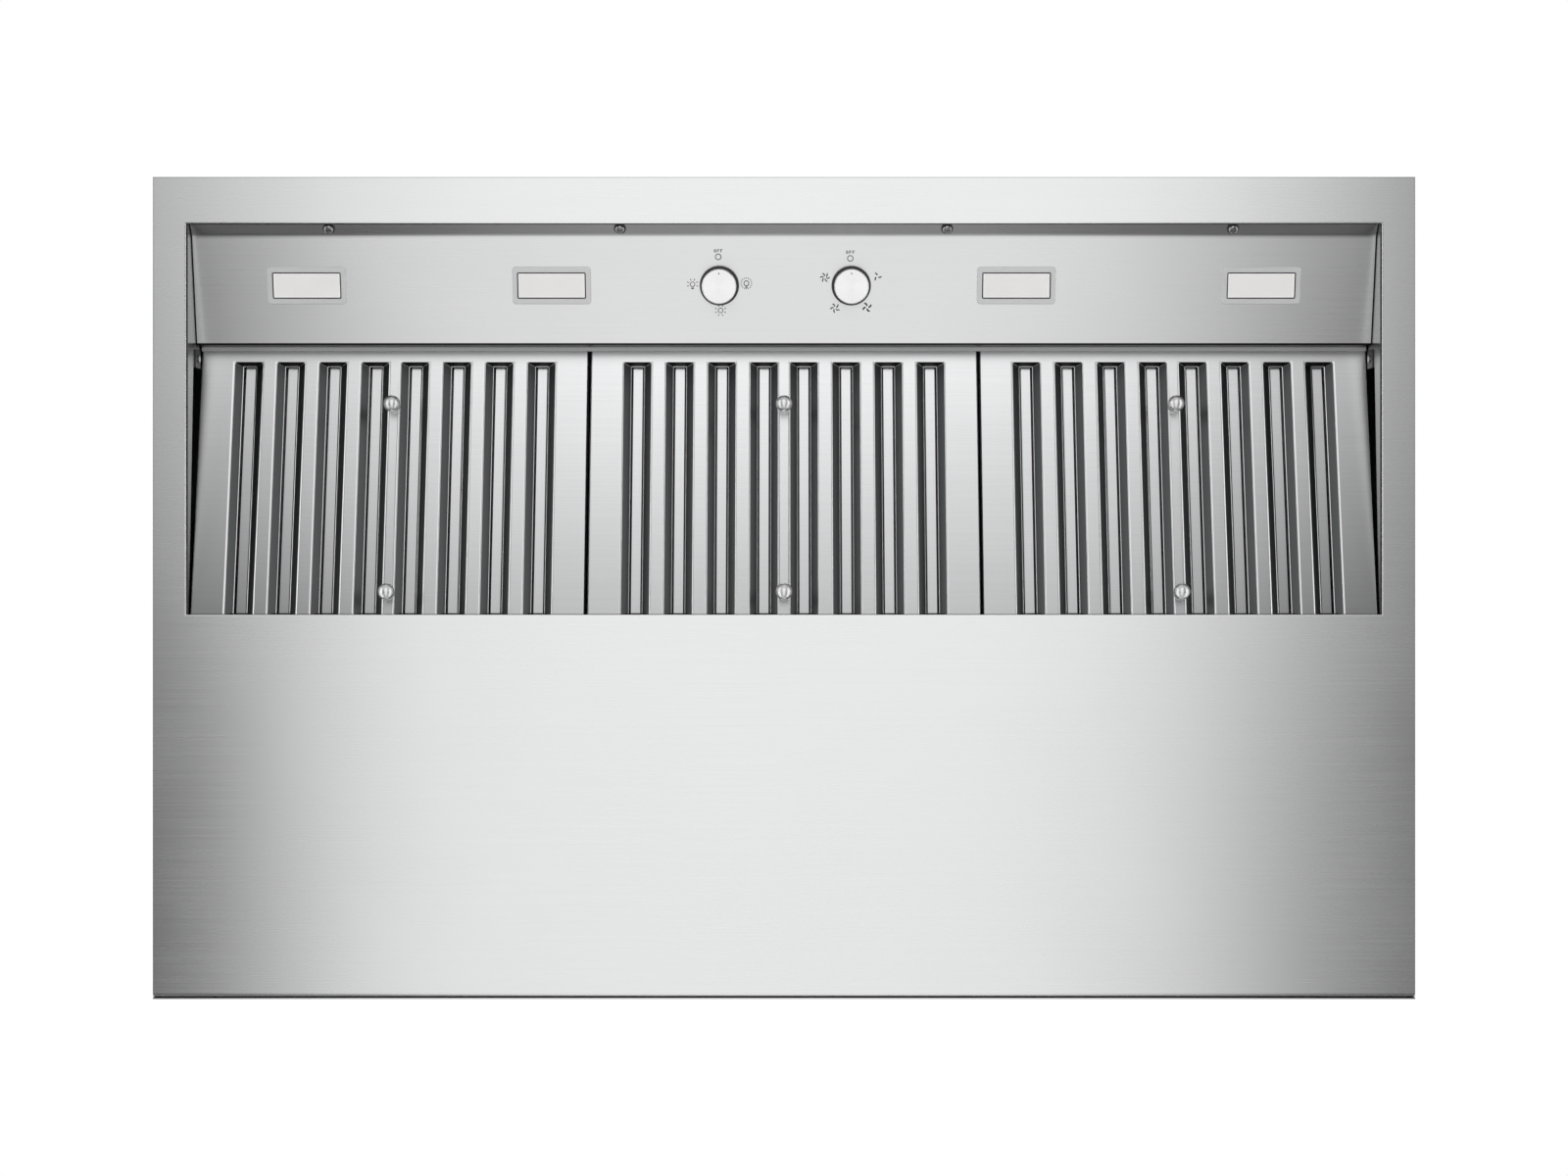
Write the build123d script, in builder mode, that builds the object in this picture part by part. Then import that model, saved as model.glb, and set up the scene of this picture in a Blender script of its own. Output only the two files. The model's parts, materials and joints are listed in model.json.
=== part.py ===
from build123d import *
import math
import os

# Wall mount range hood, in millimetres.
# X runs left to right, Y runs from the front (negative) to the wall (Y = 0), Z runs up.
# The origin is the middle of the lower edge of the back, on the wall plane.

os.makedirs("parts", exist_ok=True)

# Body
hood_width = 1219.0
hood_depth = 794.0
hood_height = 457.0
band_height = 90.0
top_depth = 380.0
sheet = 1.2
bend_radius = 3.0
bend_flange = 12.0

# Underside
front_lip = 45.5
side_lip = 32.5
opening_depth = 376.7
rear_bend_radius = 5.0
rear_flange_height = 26.0
opening_bend_radius = 2.0
opening_flange_height = 2.8
opening_side_flange = 12.0

# Control panel
facet_angle = 40.0
facet_length = 17.8
facet_setback = 4.2
facet_lift = 0.6
facet_bend_radius = 10.0
panel_slope = 11.0
panel_length = 106.2
panel_ridge_radius = 2.0
panel_end_gap = 1.0
fitting_line = 48.0
front_rail_foot = 18.0
front_rail_stop = 2.5
left_screw_from_end = 136.0
right_screw_from_end = 142.0
left_screw_from_middle = 159.0
right_screw_from_middle = 158.0
screw_line = 9.4
screw_shank_radius = 2.5
screw_shank_length = 12.0
screw_head_radius = 4.7
screw_head_height = 3.0
screw_head_round = 2.0
washer_radius = 5.8
washer_thickness = 1.0
cross_recess_width = 1.3
cross_recess_length = 5.6
cross_recess_depth = 1.6

# Filters
filter_count = 3
filter_gap = 3.0
filter_side_gap = 3.2
filter_tilt = 10.5
filter_depth = 16.0
filter_sheet = 0.8
filter_frame_wall = 1.0
filter_back_flange = 14.0
filter_rear_overlap = 16.3
seat_gap = 0.3
slot_count = 8
slot_pitch = 41.6
slot_middle_pitch = 39.2
slot_width = 28.5
slot_front_margin = 15.2
slot_rear_margin = 15.3
slot_wall_depth = 7.0
slot_wall_inset = 8.0
slot_end_inset = 3.0
baffle_web = 9.0
baffle_web_depth = 11.0
baffle_leg_spread = 5.0
baffle_foot = 5.0
filter_knob_front_station = 60.7
filter_knob_rear_margin = 36.4
filter_knob_radius = 8.0
filter_knob_height = 21.0
filter_knob_neck_radius = 3.4
filter_knob_foot_radius = 6.2
filter_knob_foot_height = 1.5
filter_knob_rivet_length = 3.0

# Filter rail, gussets and corner clips
rail_seat = 4.4
rail_play = 1.2
rail_weld = 12.0
weld_gap = 0.1
rail_upright = 42.0
gusset_edge_lift = 0.3
gusset_front_height = 22.0
gusset_tall_end = 136.0
gusset_tall_height = 46.0
gusset_step_height = 22.0
gusset_rear_height = 5.0
clip_length = 18.0
clip_height = 20.0
clip_screw_head_radius = 3.4
clip_screw_head_height = 1.6
clip_screw_radius = 2.0
clip_screw_length = 6.0

# Lamps
lamp_from_end = 112.0
lamp_from_middle = 226.5
bezel_length = 76.5
bezel_width = 36.0
bezel_corner = 3.5
bezel_height = 2.0
bezel_edge_round = 0.8
lens_length = 67.0
lens_width = 25.6
lens_corner = 1.5
lens_recess = 0.5
lens_thickness = 2.5
lamp_tube_wall = 1.5
lamp_tube_depth = 14.0
lamp_cutout_clearance = 0.3
led_board_gap = 6.0
led_board_height = 10.0
led_fin_pitch = 8.0
led_fin_width = 3.0
led_fin_depth = 5.0

# Knobs and rotary switches
light_knob_from_middle = 63.0
fan_knob_from_middle = 65.5
knob_skirt_radius = 19.1
knob_skirt_height = 3.0
knob_cap_radius = 16.7
knob_cap_height = 14.0
knob_cap_round = 1.0
knob_air_gap = 0.5
knob_pointer_radius = 1.0
knob_pointer_reach = 12.6
knob_pointer_depth = 0.4
knob_bore_depth = 9.0
shaft_radius = 3.0
shaft_clearance = 0.05
shaft_inside_length = 12.0
shaft_end_gap = 1.0
switch_size = 30.0
switch_depth = 18.0
switch_bush_radius = 5.5

# Blower
blower_from_wall = 195.0
blower_axis_height = 255.0
impeller_radius = 85.0
impeller_width = 78.0
impeller_plate = 1.5
impeller_blades = 32
blade_thickness = 1.0
blade_depth = 13.0
hub_radius = 13.0
hub_length = 24.0
blower_shaft_radius = 6.0
bearing_clearance = 0.05
scroll_sheet = 1.0
scroll_radius = 116.0
scroll_shift = 16.0
scroll_width = 98.0
scroll_outlet_depth = 112.0
inlet_radius = 66.0
motor_hole_radius = 40.0
impeller_side_gap = 6.0
motor_radius = 62.0
motor_length = 104.0
motor_edge_round = 8.0
motor_boss_radius = 16.0
motor_boss_length = 4.0

# Outlet
plenum_length = 330.0
plenum_depth = 280.0
plenum_height = 62.0
collar_radius = 126.5
collar_wall = 1.0
collar_height = 62.0
collar_flange = 18.0
collar_flange_corner = 8.0
damper_axis_height = 27.0
damper_play = 1.5
flap_thickness = 0.8
damper_pin_radius = 2.0
damper_pin_inset = 0.25
knuckle_wall = 1.2
knuckle_length = 40.0
knuckle_places = (-75.0, 25.0)
knuckle_clearance = 0.4
knuckle_root = 1.0
stop_ring_width = 6.0
stop_ring_height = 1.5

# Electrical box and cable gland
box_length = 190.0
box_depth = 120.0
box_height = 60.0
box_from_wall = 90.0
box_from_side = 249.5
gland_from_side = 309.5
gland_from_wall = 150.0
gland_radius = 11.1
gland_nut_radius = 15.0
gland_nut_height = 6.0
gland_bore_radius = 6.0
gland_stem_height = 16.0

# Wall fixing
stud_spacing = 812.8
wall_hole_rise = 300.0
wall_hole_lowest = 100.0
wall_hole_radius = 4.5

# Places worked out from the sizes above
front_y = -hood_depth
back_inner_y = -sheet
half_width = hood_width / 2
half_inside = half_width - sheet
opening_half = half_width - side_lip
opening_front_y = front_y + front_lip
opening_rear_y = opening_front_y + opening_depth
top_z = hood_height
top_inner_z = hood_height - sheet


def along(angle):
    """Unit step in Y and Z for a slope of this many degrees."""
    return math.cos(math.radians(angle)), math.sin(math.radians(angle))


# The visible line of the control panel runs from the facet's low edge over the bend to the ridge.
facet_y, facet_z = along(facet_angle)
slope_y, slope_z = along(panel_slope)
facet_low = (opening_front_y - facet_setback, sheet + facet_lift)
facet_top = (facet_low[0] + facet_length * facet_y, facet_low[1] + facet_length * facet_z)
ridge = (facet_top[0] + panel_length * slope_y, facet_top[1] + panel_length * slope_z)
screw_point = (
    facet_low[0] + screw_line * facet_y,
    facet_low[1] + screw_line * facet_z,
)
fitting_point = (
    facet_top[0] + fitting_line * slope_y,
    facet_top[1] + fitting_line * slope_z,
)
facet_plane = Plane(
    origin=(0, *screw_point), x_dir=(1, 0, 0), z_dir=(0, -facet_z, facet_y)
)
panel_plane = Plane(
    origin=(0, *fitting_point), x_dir=(1, 0, 0), z_dir=(0, -slope_z, slope_y)
)
panel_half_length = opening_half - sheet - panel_end_gap
lamp_places = (
    lamp_from_end - opening_half,
    -lamp_from_middle,
    lamp_from_middle,
    opening_half - lamp_from_end,
)
screw_places = (
    left_screw_from_end - opening_half,
    -left_screw_from_middle,
    right_screw_from_middle,
    opening_half - right_screw_from_end,
)

# The filters lie on the bottom panel behind the opening and rise towards the front,
# where they sit on the lip of the filter rail, which stands against the flange of the ridge.
tilt_y, tilt_z = along(filter_tilt)
rail_y = ridge[0] - sheet
filter_rear = (opening_rear_y + filter_rear_overlap, sheet + seat_gap)
filter_length = (filter_rear[0] - rail_y - rail_play) / tilt_y
filter_front = (rail_y + rail_play, filter_rear[1] + filter_length * tilt_z)
filter_width = (2 * (opening_half - filter_side_gap) - (filter_count - 1) * filter_gap) / filter_count
filter_pitch = filter_width + filter_gap
slot_length = filter_length - slot_front_margin - slot_rear_margin
slot_middle = slot_front_margin + slot_length / 2
slot_sections = ((0, 0, 0), (slot_wall_depth, slot_wall_inset, slot_end_inset))
slot_places = [
    sign * (slot_middle_pitch / 2 + index * slot_pitch)
    for sign in (-1, 1)
    for index in range(slot_count // 2)
]
filter_knob_stations = (
    filter_knob_front_station,
    filter_length - filter_knob_rear_margin,
)
rail_lip_z = filter_front[1] - seat_gap / tilt_y + rail_play * tilt_z / tilt_y

blower_y = -blower_from_wall
box_x = box_from_side - half_width
gland_x = gland_from_side - half_width
damper_z = top_z + damper_axis_height
flap_radius = collar_radius - collar_wall - damper_play


def save(piece, name):
    """Label a finished piece and write it to its own file."""
    piece.label = name
    export_step(piece, f"parts/{name}.step")


# Bottom panel: lips, plain rear area, rounded rear bend and flanges round the opening in one sheet
with BuildPart() as bottom_panel:
    with BuildSketch(Plane.YZ):
        with BuildLine():
            FilletPolyline(
                (front_y, 0),
                (back_inner_y, 0),
                (back_inner_y, rear_flange_height),
                radius=rear_bend_radius,
            )
            offset(amount=sheet, side=Side.LEFT)
        make_face()
    extrude(amount=half_width, both=True)
    with BuildSketch(Plane.XY):
        with Locations((0, opening_front_y + opening_depth / 2)):
            Rectangle(2 * opening_half, opening_depth)
    extrude(amount=sheet, mode=Mode.SUBTRACT)
    with BuildSketch(Plane.XY):
        with Locations((0, opening_front_y + opening_depth / 2)):
            with GridLocations(0, opening_depth + sheet, 1, 2):
                Rectangle(2 * (opening_half + sheet), sheet)
    extrude(amount=opening_flange_height)
    with BuildSketch(Plane.XY):
        with Locations((0, opening_front_y + opening_depth / 2)):
            with GridLocations(2 * opening_half + sheet, 0, 2, 1):
                Rectangle(sheet, opening_depth)
    extrude(amount=opening_side_flange)
    opening_edges = bottom_panel.edges().group_by(Axis.Z)[0].filter_by(
        lambda edge: abs(edge.center().X) < opening_half + sheet
        and opening_front_y - sheet < edge.center().Y < opening_rear_y + sheet
    )
    fillet(opening_edges, radius=opening_bend_radius)
    with BuildSketch(Plane.XY.offset(sheet)):
        with Locations((0, back_inner_y - rear_bend_radius)):
            with GridLocations(2 * half_inside + sheet, 0, 2, 1):
                Rectangle(sheet, 2 * rear_bend_radius)
    extrude(amount=rear_flange_height, mode=Mode.SUBTRACT)
save(bottom_panel.part, "bottom_panel")

# Canopy: flat front band, bent slope and flat top, welded edge to edge
canopy_line = (
    (front_y, sheet),
    (front_y, band_height),
    (-top_depth, top_z),
    (back_inner_y, top_z),
)
front_seam_z = band_height - bend_flange
top_seam_y = bend_flange - top_depth
with BuildPart() as canopy_front:
    with BuildSketch(Plane.XZ.offset(-front_y)):
        with Locations((0, (sheet + front_seam_z) / 2)):
            Rectangle(2 * half_inside, front_seam_z - sheet)
    extrude(amount=-sheet)
save(canopy_front.part, "canopy_front")

with BuildPart() as canopy_slope:
    with BuildSketch(Plane.YZ):
        with BuildLine():
            FilletPolyline(
                (front_y, front_seam_z),
                *canopy_line[1:3],
                (top_seam_y, top_z),
                radius=bend_radius,
            )
            offset(amount=sheet, side=Side.RIGHT)
        make_face()
    extrude(amount=half_inside, both=True)
save(canopy_slope.part, "canopy_slope")

with BuildPart() as canopy_top:
    with BuildSketch(Plane.XY.offset(top_inner_z)):
        with Locations((0, (top_seam_y + back_inner_y) / 2)):
            Rectangle(2 * half_inside, back_inner_y - top_seam_y)
        with Locations((0, blower_y)):
            Rectangle(2 * collar_radius, 2 * collar_radius, mode=Mode.SUBTRACT)
        with Locations((gland_x, -gland_from_wall)):
            Circle(gland_radius, mode=Mode.SUBTRACT)
    extrude(amount=sheet)
save(canopy_top.part, "canopy_top")

# Side panels: flat sheets that close the ends of the canopy
for side, place in (("left", -half_width), ("right", half_inside)):
    with BuildPart() as side_panel:
        with BuildSketch(Plane.YZ.offset(place)):
            with BuildLine():
                FilletPolyline(*canopy_line, radius=bend_radius)
                Polyline(canopy_line[-1], (back_inner_y, sheet), canopy_line[0])
            make_face()
        extrude(amount=sheet)
    save(side_panel.part, f"side_panel_{side}")

# Back panel: flat sheet on the wall, with four holes for the wall bolts
with BuildPart() as back_panel:
    with BuildSketch(Plane.XZ):
        with Locations((0, hood_height / 2)):
            Rectangle(hood_width, hood_height)
        with Locations((0, wall_hole_lowest + wall_hole_rise / 2)):
            with GridLocations(stud_spacing, wall_hole_rise, 2, 2):
                Circle(wall_hole_radius, mode=Mode.SUBTRACT)
    extrude(amount=sheet)
save(back_panel.part, "back_panel")

# Front rail: hidden strip on the front lip that carries the facet of the control panel
facet_back = (facet_low[0] - sheet * facet_z, facet_low[1] + sheet * facet_y)
rail_corner_y = facet_back[0] - (facet_back[1] - sheet) * facet_y / facet_z
rail_reach = facet_length - front_rail_stop
front_rail_line = (
    (rail_corner_y - front_rail_foot, sheet),
    (rail_corner_y, sheet),
    (facet_back[0] + rail_reach * facet_y, facet_back[1] + rail_reach * facet_z),
)
with BuildPart() as front_rail:
    with BuildSketch(Plane.YZ):
        with BuildLine():
            FilletPolyline(*front_rail_line, radius=sheet)
            offset(amount=sheet, side=Side.LEFT)
        make_face()
    extrude(amount=panel_half_length, both=True)
    with BuildSketch(facet_plane):
        with Locations(*[(x, 0) for x in screw_places]):
            Circle(screw_shank_radius)
    extrude(amount=2 * sheet + facet_lift, mode=Mode.SUBTRACT)
save(front_rail.part, "front_rail")

# Control panel: facet, slope and upright rear flange in one sheet
panel_flange_top = rail_lip_z - sheet / tilt_y - sheet * tilt_z / tilt_y - weld_gap
with BuildPart() as control_panel:
    with BuildSketch(Plane.YZ):
        with BuildLine():
            FilletPolyline(
                facet_low,
                facet_top,
                ridge,
                (ridge[0], panel_flange_top),
                radius=[facet_bend_radius, panel_ridge_radius],
            )
            offset(amount=sheet, side=Side.LEFT)
        make_face()
    extrude(amount=panel_half_length, both=True)
    with BuildSketch(facet_plane):
        with Locations(*[(x, 0) for x in screw_places]):
            Circle(screw_shank_radius)
    extrude(amount=sheet, mode=Mode.SUBTRACT)
    with BuildSketch(panel_plane):
        with Locations(*[(x, 0) for x in lamp_places]):
            Rectangle(
                lens_length + 2 * (lamp_tube_wall + lamp_cutout_clearance),
                lens_width + 2 * (lamp_tube_wall + lamp_cutout_clearance),
            )
        with Locations((-light_knob_from_middle, 0), (fan_knob_from_middle, 0)):
            Circle(switch_bush_radius)
    extrude(amount=sheet, mode=Mode.SUBTRACT)
save(control_panel.part, "control_panel")

# Washers and cross-head screws of the control panel
with BuildPart() as panel_washers:
    with BuildSketch(facet_plane):
        with Locations(*[(x, 0) for x in screw_places]):
            Circle(washer_radius)
            Circle(screw_shank_radius, mode=Mode.SUBTRACT)
    extrude(amount=-washer_thickness)
save(panel_washers.part, "panel_washers")

with BuildPart() as panel_screws:
    with BuildSketch(facet_plane.offset(-washer_thickness)):
        with Locations(*[(x, 0) for x in screw_places]):
            Circle(screw_head_radius)
    extrude(amount=-screw_head_height)
    head_edges = panel_screws.edges().filter_by(GeomType.CIRCLE)
    outward = Axis(facet_plane.origin, -facet_plane.z_dir)
    fillet(head_edges.group_by(outward)[-1], radius=screw_head_round)
    with BuildSketch(facet_plane.offset(-washer_thickness)):
        with Locations(*[(x, 0) for x in screw_places]):
            Circle(screw_shank_radius)
    extrude(amount=screw_shank_length)
    with BuildSketch(facet_plane.offset(-washer_thickness - screw_head_height)):
        with Locations(*[(x, 0) for x in screw_places]):
            Rectangle(cross_recess_length, cross_recess_width)
            Rectangle(cross_recess_width, cross_recess_length)
    extrude(amount=cross_recess_depth, mode=Mode.SUBTRACT)
save(panel_screws.part, "panel_screws")

# Gussets: upright sheets on the side flanges of the opening, beside the control panel and filters
gusset_line = (
    (opening_front_y, gusset_edge_lift),
    (opening_rear_y, gusset_edge_lift),
    (opening_rear_y, gusset_rear_height),
    (opening_front_y + gusset_tall_end, gusset_step_height),
    (opening_front_y + gusset_tall_end, gusset_tall_height),
    (ridge[0], gusset_tall_height),
    (opening_front_y, gusset_front_height),
)
clip_middle_y = opening_front_y + gusset_tall_end - clip_length / 2
clip_middle_z = gusset_tall_height - clip_height / 2
for side, sign in (("left", -1), ("right", 1)):
    wall_plane = Plane(
        origin=(sign * opening_half, 0, 0), x_dir=(0, 1, 0), z_dir=(1, 0, 0)
    )
    with BuildPart() as gusset:
        with BuildSketch(wall_plane):
            with BuildLine():
                Polyline(*gusset_line, close=True)
            make_face()
        extrude(amount=-sign * sheet)
        with BuildSketch(wall_plane):
            with Locations((clip_middle_y, clip_middle_z)):
                Circle(clip_screw_radius)
        extrude(amount=-sign * sheet, mode=Mode.SUBTRACT)
    save(gusset.part, f"gusset_{side}")

    with BuildPart() as clip:
        with BuildSketch(wall_plane.offset(-sign * sheet)):
            with Locations((clip_middle_y, clip_middle_z)):
                RectangleRounded(clip_length, clip_height, sheet)
                Circle(clip_screw_radius, mode=Mode.SUBTRACT)
        extrude(amount=-sign * sheet)
    save(clip.part, f"corner_clip_{side}")

with BuildPart() as clip_screws:
    for sign in (-1, 1):
        head_plane = Plane(
            origin=(sign * (opening_half - 2 * sheet), clip_middle_y, clip_middle_z),
            x_dir=(0, 1, 0),
            z_dir=(-sign, 0, 0),
        )
        with BuildSketch(head_plane):
            Circle(clip_screw_head_radius)
        extrude(amount=clip_screw_head_height)
        with BuildSketch(head_plane):
            Circle(clip_screw_radius)
        extrude(amount=-clip_screw_length)
save(clip_screws.part, "clip_screws")

# Filter rail: upright against the flange of the ridge, with a lip under the filters
lip_reach = rail_play + rail_seat
with BuildPart() as filter_rail:
    with BuildSketch(Plane.YZ):
        with BuildLine():
            Polyline(
                (rail_y, rail_lip_z),
                (rail_y + lip_reach, rail_lip_z - lip_reach * tilt_z / tilt_y),
            )
            offset(amount=sheet, side=Side.RIGHT)
        make_face()
        with Locations((rail_y - sheet / 2, rail_lip_z + (rail_upright - rail_weld) / 2)):
            Rectangle(sheet, rail_upright + rail_weld)
    extrude(amount=panel_half_length, both=True)
save(filter_rail.part, "filter_rail")


def make_filter(name, middle_x):
    """Slotted front plate, frame, rear baffles and two knobs of one filter."""
    face = Plane(
        origin=(middle_x, *filter_front), x_dir=(1, 0, 0), z_dir=(0, tilt_z, tilt_y)
    )
    make_front_plate(face, f"{name}_front_plate")
    make_filter_frame(face, f"{name}_frame")
    make_baffles(face, f"{name}_baffles")
    make_filter_knobs(face, f"{name}_knobs")


def make_front_plate(face, name):
    """Plate with a row of slots, each with walls that lean inwards."""
    with BuildPart() as front_plate:
        with BuildSketch(face):
            with Locations((0, filter_length / 2)):
                Rectangle(filter_width, filter_length)
        extrude(amount=filter_sheet)
        for wall, mode in ((filter_sheet, Mode.ADD), (0, Mode.SUBTRACT)):
            for place in slot_places:
                for depth, side_inset, end_inset in slot_sections:
                    with BuildSketch(face.offset(depth)):
                        with Locations((place, slot_middle)):
                            Rectangle(
                                slot_width + 2 * (wall - side_inset),
                                slot_length + 2 * (wall - end_inset),
                            )
                loft(mode=mode)
        with BuildSketch(face):
            with Locations(*[(0, station) for station in filter_knob_stations]):
                Circle(filter_knob_neck_radius)
        extrude(amount=filter_sheet, mode=Mode.SUBTRACT)
    save(front_plate.part, name)


def make_filter_frame(face, name):
    """Upright rim with a flange round the back."""
    with BuildPart() as frame:
        for start, rim in (
            (filter_sheet, filter_frame_wall),
            (filter_depth - filter_sheet, filter_back_flange),
        ):
            with BuildSketch(face.offset(start)):
                with Locations((0, filter_length / 2)):
                    Rectangle(filter_width, filter_length)
                    Rectangle(filter_width - 2 * rim, filter_length - 2 * rim, mode=Mode.SUBTRACT)
            extrude(amount=filter_depth - start)
    save(frame.part, name)


def make_baffles(face, name):
    """Channels behind the slots, each with its flat web towards the slot."""
    section = Plane(
        origin=face.from_local_coords((0, filter_frame_wall, 0)),
        x_dir=(-1, 0, 0),
        z_dir=face.y_dir,
    )
    foot_depth = filter_depth - 2 * filter_sheet
    foot_start = baffle_web / 2 + baffle_leg_spread
    with BuildPart() as baffles:
        for middle in slot_places:
            with BuildSketch(section):
                with BuildLine():
                    Polyline(
                        (middle - foot_start - baffle_foot, foot_depth),
                        (middle - foot_start, foot_depth),
                        (middle - baffle_web / 2, baffle_web_depth),
                        (middle + baffle_web / 2, baffle_web_depth),
                        (middle + foot_start, foot_depth),
                        (middle + foot_start + baffle_foot, foot_depth),
                    )
                    offset(amount=filter_sheet, side=Side.LEFT)
                make_face()
            extrude(amount=filter_length - 2 * filter_frame_wall)
    save(baffles.part, name)


def make_filter_knobs(face, name):
    """Two ball knobs, each with a foot on the plate and a neck through it."""
    ball_middle = filter_knob_height - filter_knob_radius
    neck_reach = math.sqrt(filter_knob_radius**2 - filter_knob_neck_radius**2)
    with BuildPart() as knobs:
        for station in filter_knob_stations:
            middle = face.from_local_coords((0, station, 0))
            with BuildSketch(Plane(origin=middle, x_dir=(1, 0, 0), z_dir=face.y_dir)):
                with BuildLine():
                    Polyline(
                        (0, filter_knob_height),
                        (0, -filter_knob_rivet_length),
                        (filter_knob_neck_radius, -filter_knob_rivet_length),
                        (filter_knob_neck_radius, 0),
                        (filter_knob_foot_radius, 0),
                        (filter_knob_foot_radius, filter_knob_foot_height),
                        (filter_knob_neck_radius, filter_knob_foot_height),
                        (filter_knob_neck_radius, ball_middle - neck_reach),
                    )
                    ThreePointArc(
                        (filter_knob_neck_radius, ball_middle - neck_reach),
                        (filter_knob_radius, ball_middle),
                        (0, filter_knob_height),
                    )
                make_face()
            revolve(axis=Axis(middle, face.z_dir))
    save(knobs.part, name)


for filter_index, filter_name in enumerate(("filter_left", "filter_middle", "filter_right")):
    make_filter(filter_name, (filter_index - (filter_count - 1) / 2) * filter_pitch)


def make_lamp(name, place):
    """Bezel with its tube, and lens of one lamp."""
    here = Plane(
        origin=panel_plane.from_local_coords((place, 0, 0)),
        x_dir=(1, 0, 0),
        z_dir=panel_plane.z_dir,
    )
    with BuildPart() as bezel:
        with BuildSketch(here):
            RectangleRounded(bezel_length, bezel_width, bezel_corner)
        extrude(amount=-bezel_height)
        rim = bezel.faces().sort_by(Axis(here.origin, -here.z_dir))[-1].edges()
        fillet(rim, radius=bezel_edge_round)
        with BuildSketch(here):
            Rectangle(lens_length + 2 * lamp_tube_wall, lens_width + 2 * lamp_tube_wall)
        extrude(amount=lamp_tube_depth)
        with BuildSketch(here.offset(-bezel_height)):
            RectangleRounded(lens_length, lens_width, lens_corner)
        extrude(amount=bezel_height + lamp_tube_depth, mode=Mode.SUBTRACT)
    save(bezel.part, f"{name}_bezel")

    with BuildPart() as lens:
        with BuildSketch(here.offset(lens_recess - bezel_height)):
            RectangleRounded(lens_length, lens_width, lens_corner)
        extrude(amount=lens_thickness)
    save(lens.part, f"{name}_lens")


for lamp_index, lamp_place in enumerate(lamp_places):
    make_lamp(f"lamp_{lamp_index + 1}", lamp_place)

# LED modules: finned blocks in the tubes of the bezels, behind the lenses
with BuildPart() as led_modules:
    with BuildSketch(panel_plane.offset(led_board_gap)):
        with Locations(*[(place, 0) for place in lamp_places]):
            RectangleRounded(lens_length, lens_width, lens_corner)
    extrude(amount=led_board_height)
    with BuildSketch(panel_plane.offset(led_board_gap + led_board_height)):
        with Locations(*[(place, 0) for place in lamp_places]):
            with GridLocations(led_fin_pitch, 0, int(lens_length / led_fin_pitch), 1):
                Rectangle(led_fin_pitch - led_fin_width, lens_width)
    extrude(amount=-led_fin_depth, mode=Mode.SUBTRACT)
save(led_modules.part, "led_modules")


def make_knob(name, place):
    """Skirt, cap, shaft and rotary switch body of one control knob."""
    here = Plane(
        origin=panel_plane.from_local_coords((place, 0, 0)),
        x_dir=(1, 0, 0),
        z_dir=panel_plane.z_dir,
    )
    skirt_back = here.offset(-knob_air_gap)
    cap_back = here.offset(-knob_air_gap - knob_skirt_height)
    cap_face = here.offset(-knob_air_gap - knob_skirt_height - knob_cap_height)
    with BuildPart() as skirt:
        with BuildSketch(skirt_back):
            Circle(knob_skirt_radius)
            Circle(shaft_radius, mode=Mode.SUBTRACT)
        extrude(amount=-knob_skirt_height)
    save(skirt.part, f"{name}_knob_skirt")

    with BuildPart() as cap:
        with BuildSketch(cap_back):
            Circle(knob_cap_radius)
        extrude(amount=-knob_cap_height)
        rim = cap.faces().sort_by(Axis(here.origin, -here.z_dir))[-1].edges()
        fillet(rim, radius=knob_cap_round)
        with BuildSketch(cap_back):
            Circle(shaft_radius)
        extrude(amount=-knob_bore_depth, mode=Mode.SUBTRACT)
        with BuildSketch(cap_face):
            with Locations((0, -knob_pointer_reach)):
                Circle(knob_pointer_radius)
        extrude(amount=knob_pointer_depth, mode=Mode.SUBTRACT)
    save(cap.part, f"{name}_knob_cap")

    with BuildPart() as shaft:
        with BuildSketch(cap_back.offset(-knob_bore_depth)):
            Circle(shaft_radius)
        extrude(amount=knob_bore_depth + knob_skirt_height + knob_air_gap + shaft_inside_length)
    save(shaft.part, f"{name}_switch_shaft")

    with BuildPart() as switch_body:
        with BuildSketch(here.offset(sheet)):
            RectangleRounded(switch_size, switch_size, bend_radius)
        extrude(amount=switch_depth)
        with BuildSketch(here):
            Circle(switch_bush_radius)
        extrude(amount=sheet)
        with BuildSketch(here):
            Circle(shaft_radius + shaft_clearance)
        extrude(amount=shaft_inside_length + shaft_end_gap, mode=Mode.SUBTRACT)
    save(switch_body.part, f"{name}_switch_body")


make_knob("light", -light_knob_from_middle)
make_knob("fan", fan_knob_from_middle)

# Blower: two scroll housings hang from the outlet plenum, with the motor between them
plenum_bottom = top_inner_z - plenum_height
scroll_middle_y = blower_y - scroll_shift / 2


def scroll_outline(inset):
    """Round casing with an outlet that rises along its wall side."""
    with Locations((scroll_middle_y, blower_axis_height)):
        Circle(scroll_radius - inset)
    with Locations(
        (
            scroll_middle_y + scroll_radius - scroll_outlet_depth / 2,
            (blower_axis_height + plenum_bottom) / 2,
        )
    ):
        Rectangle(scroll_outlet_depth - 2 * inset, plenum_bottom - blower_axis_height)


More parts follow.
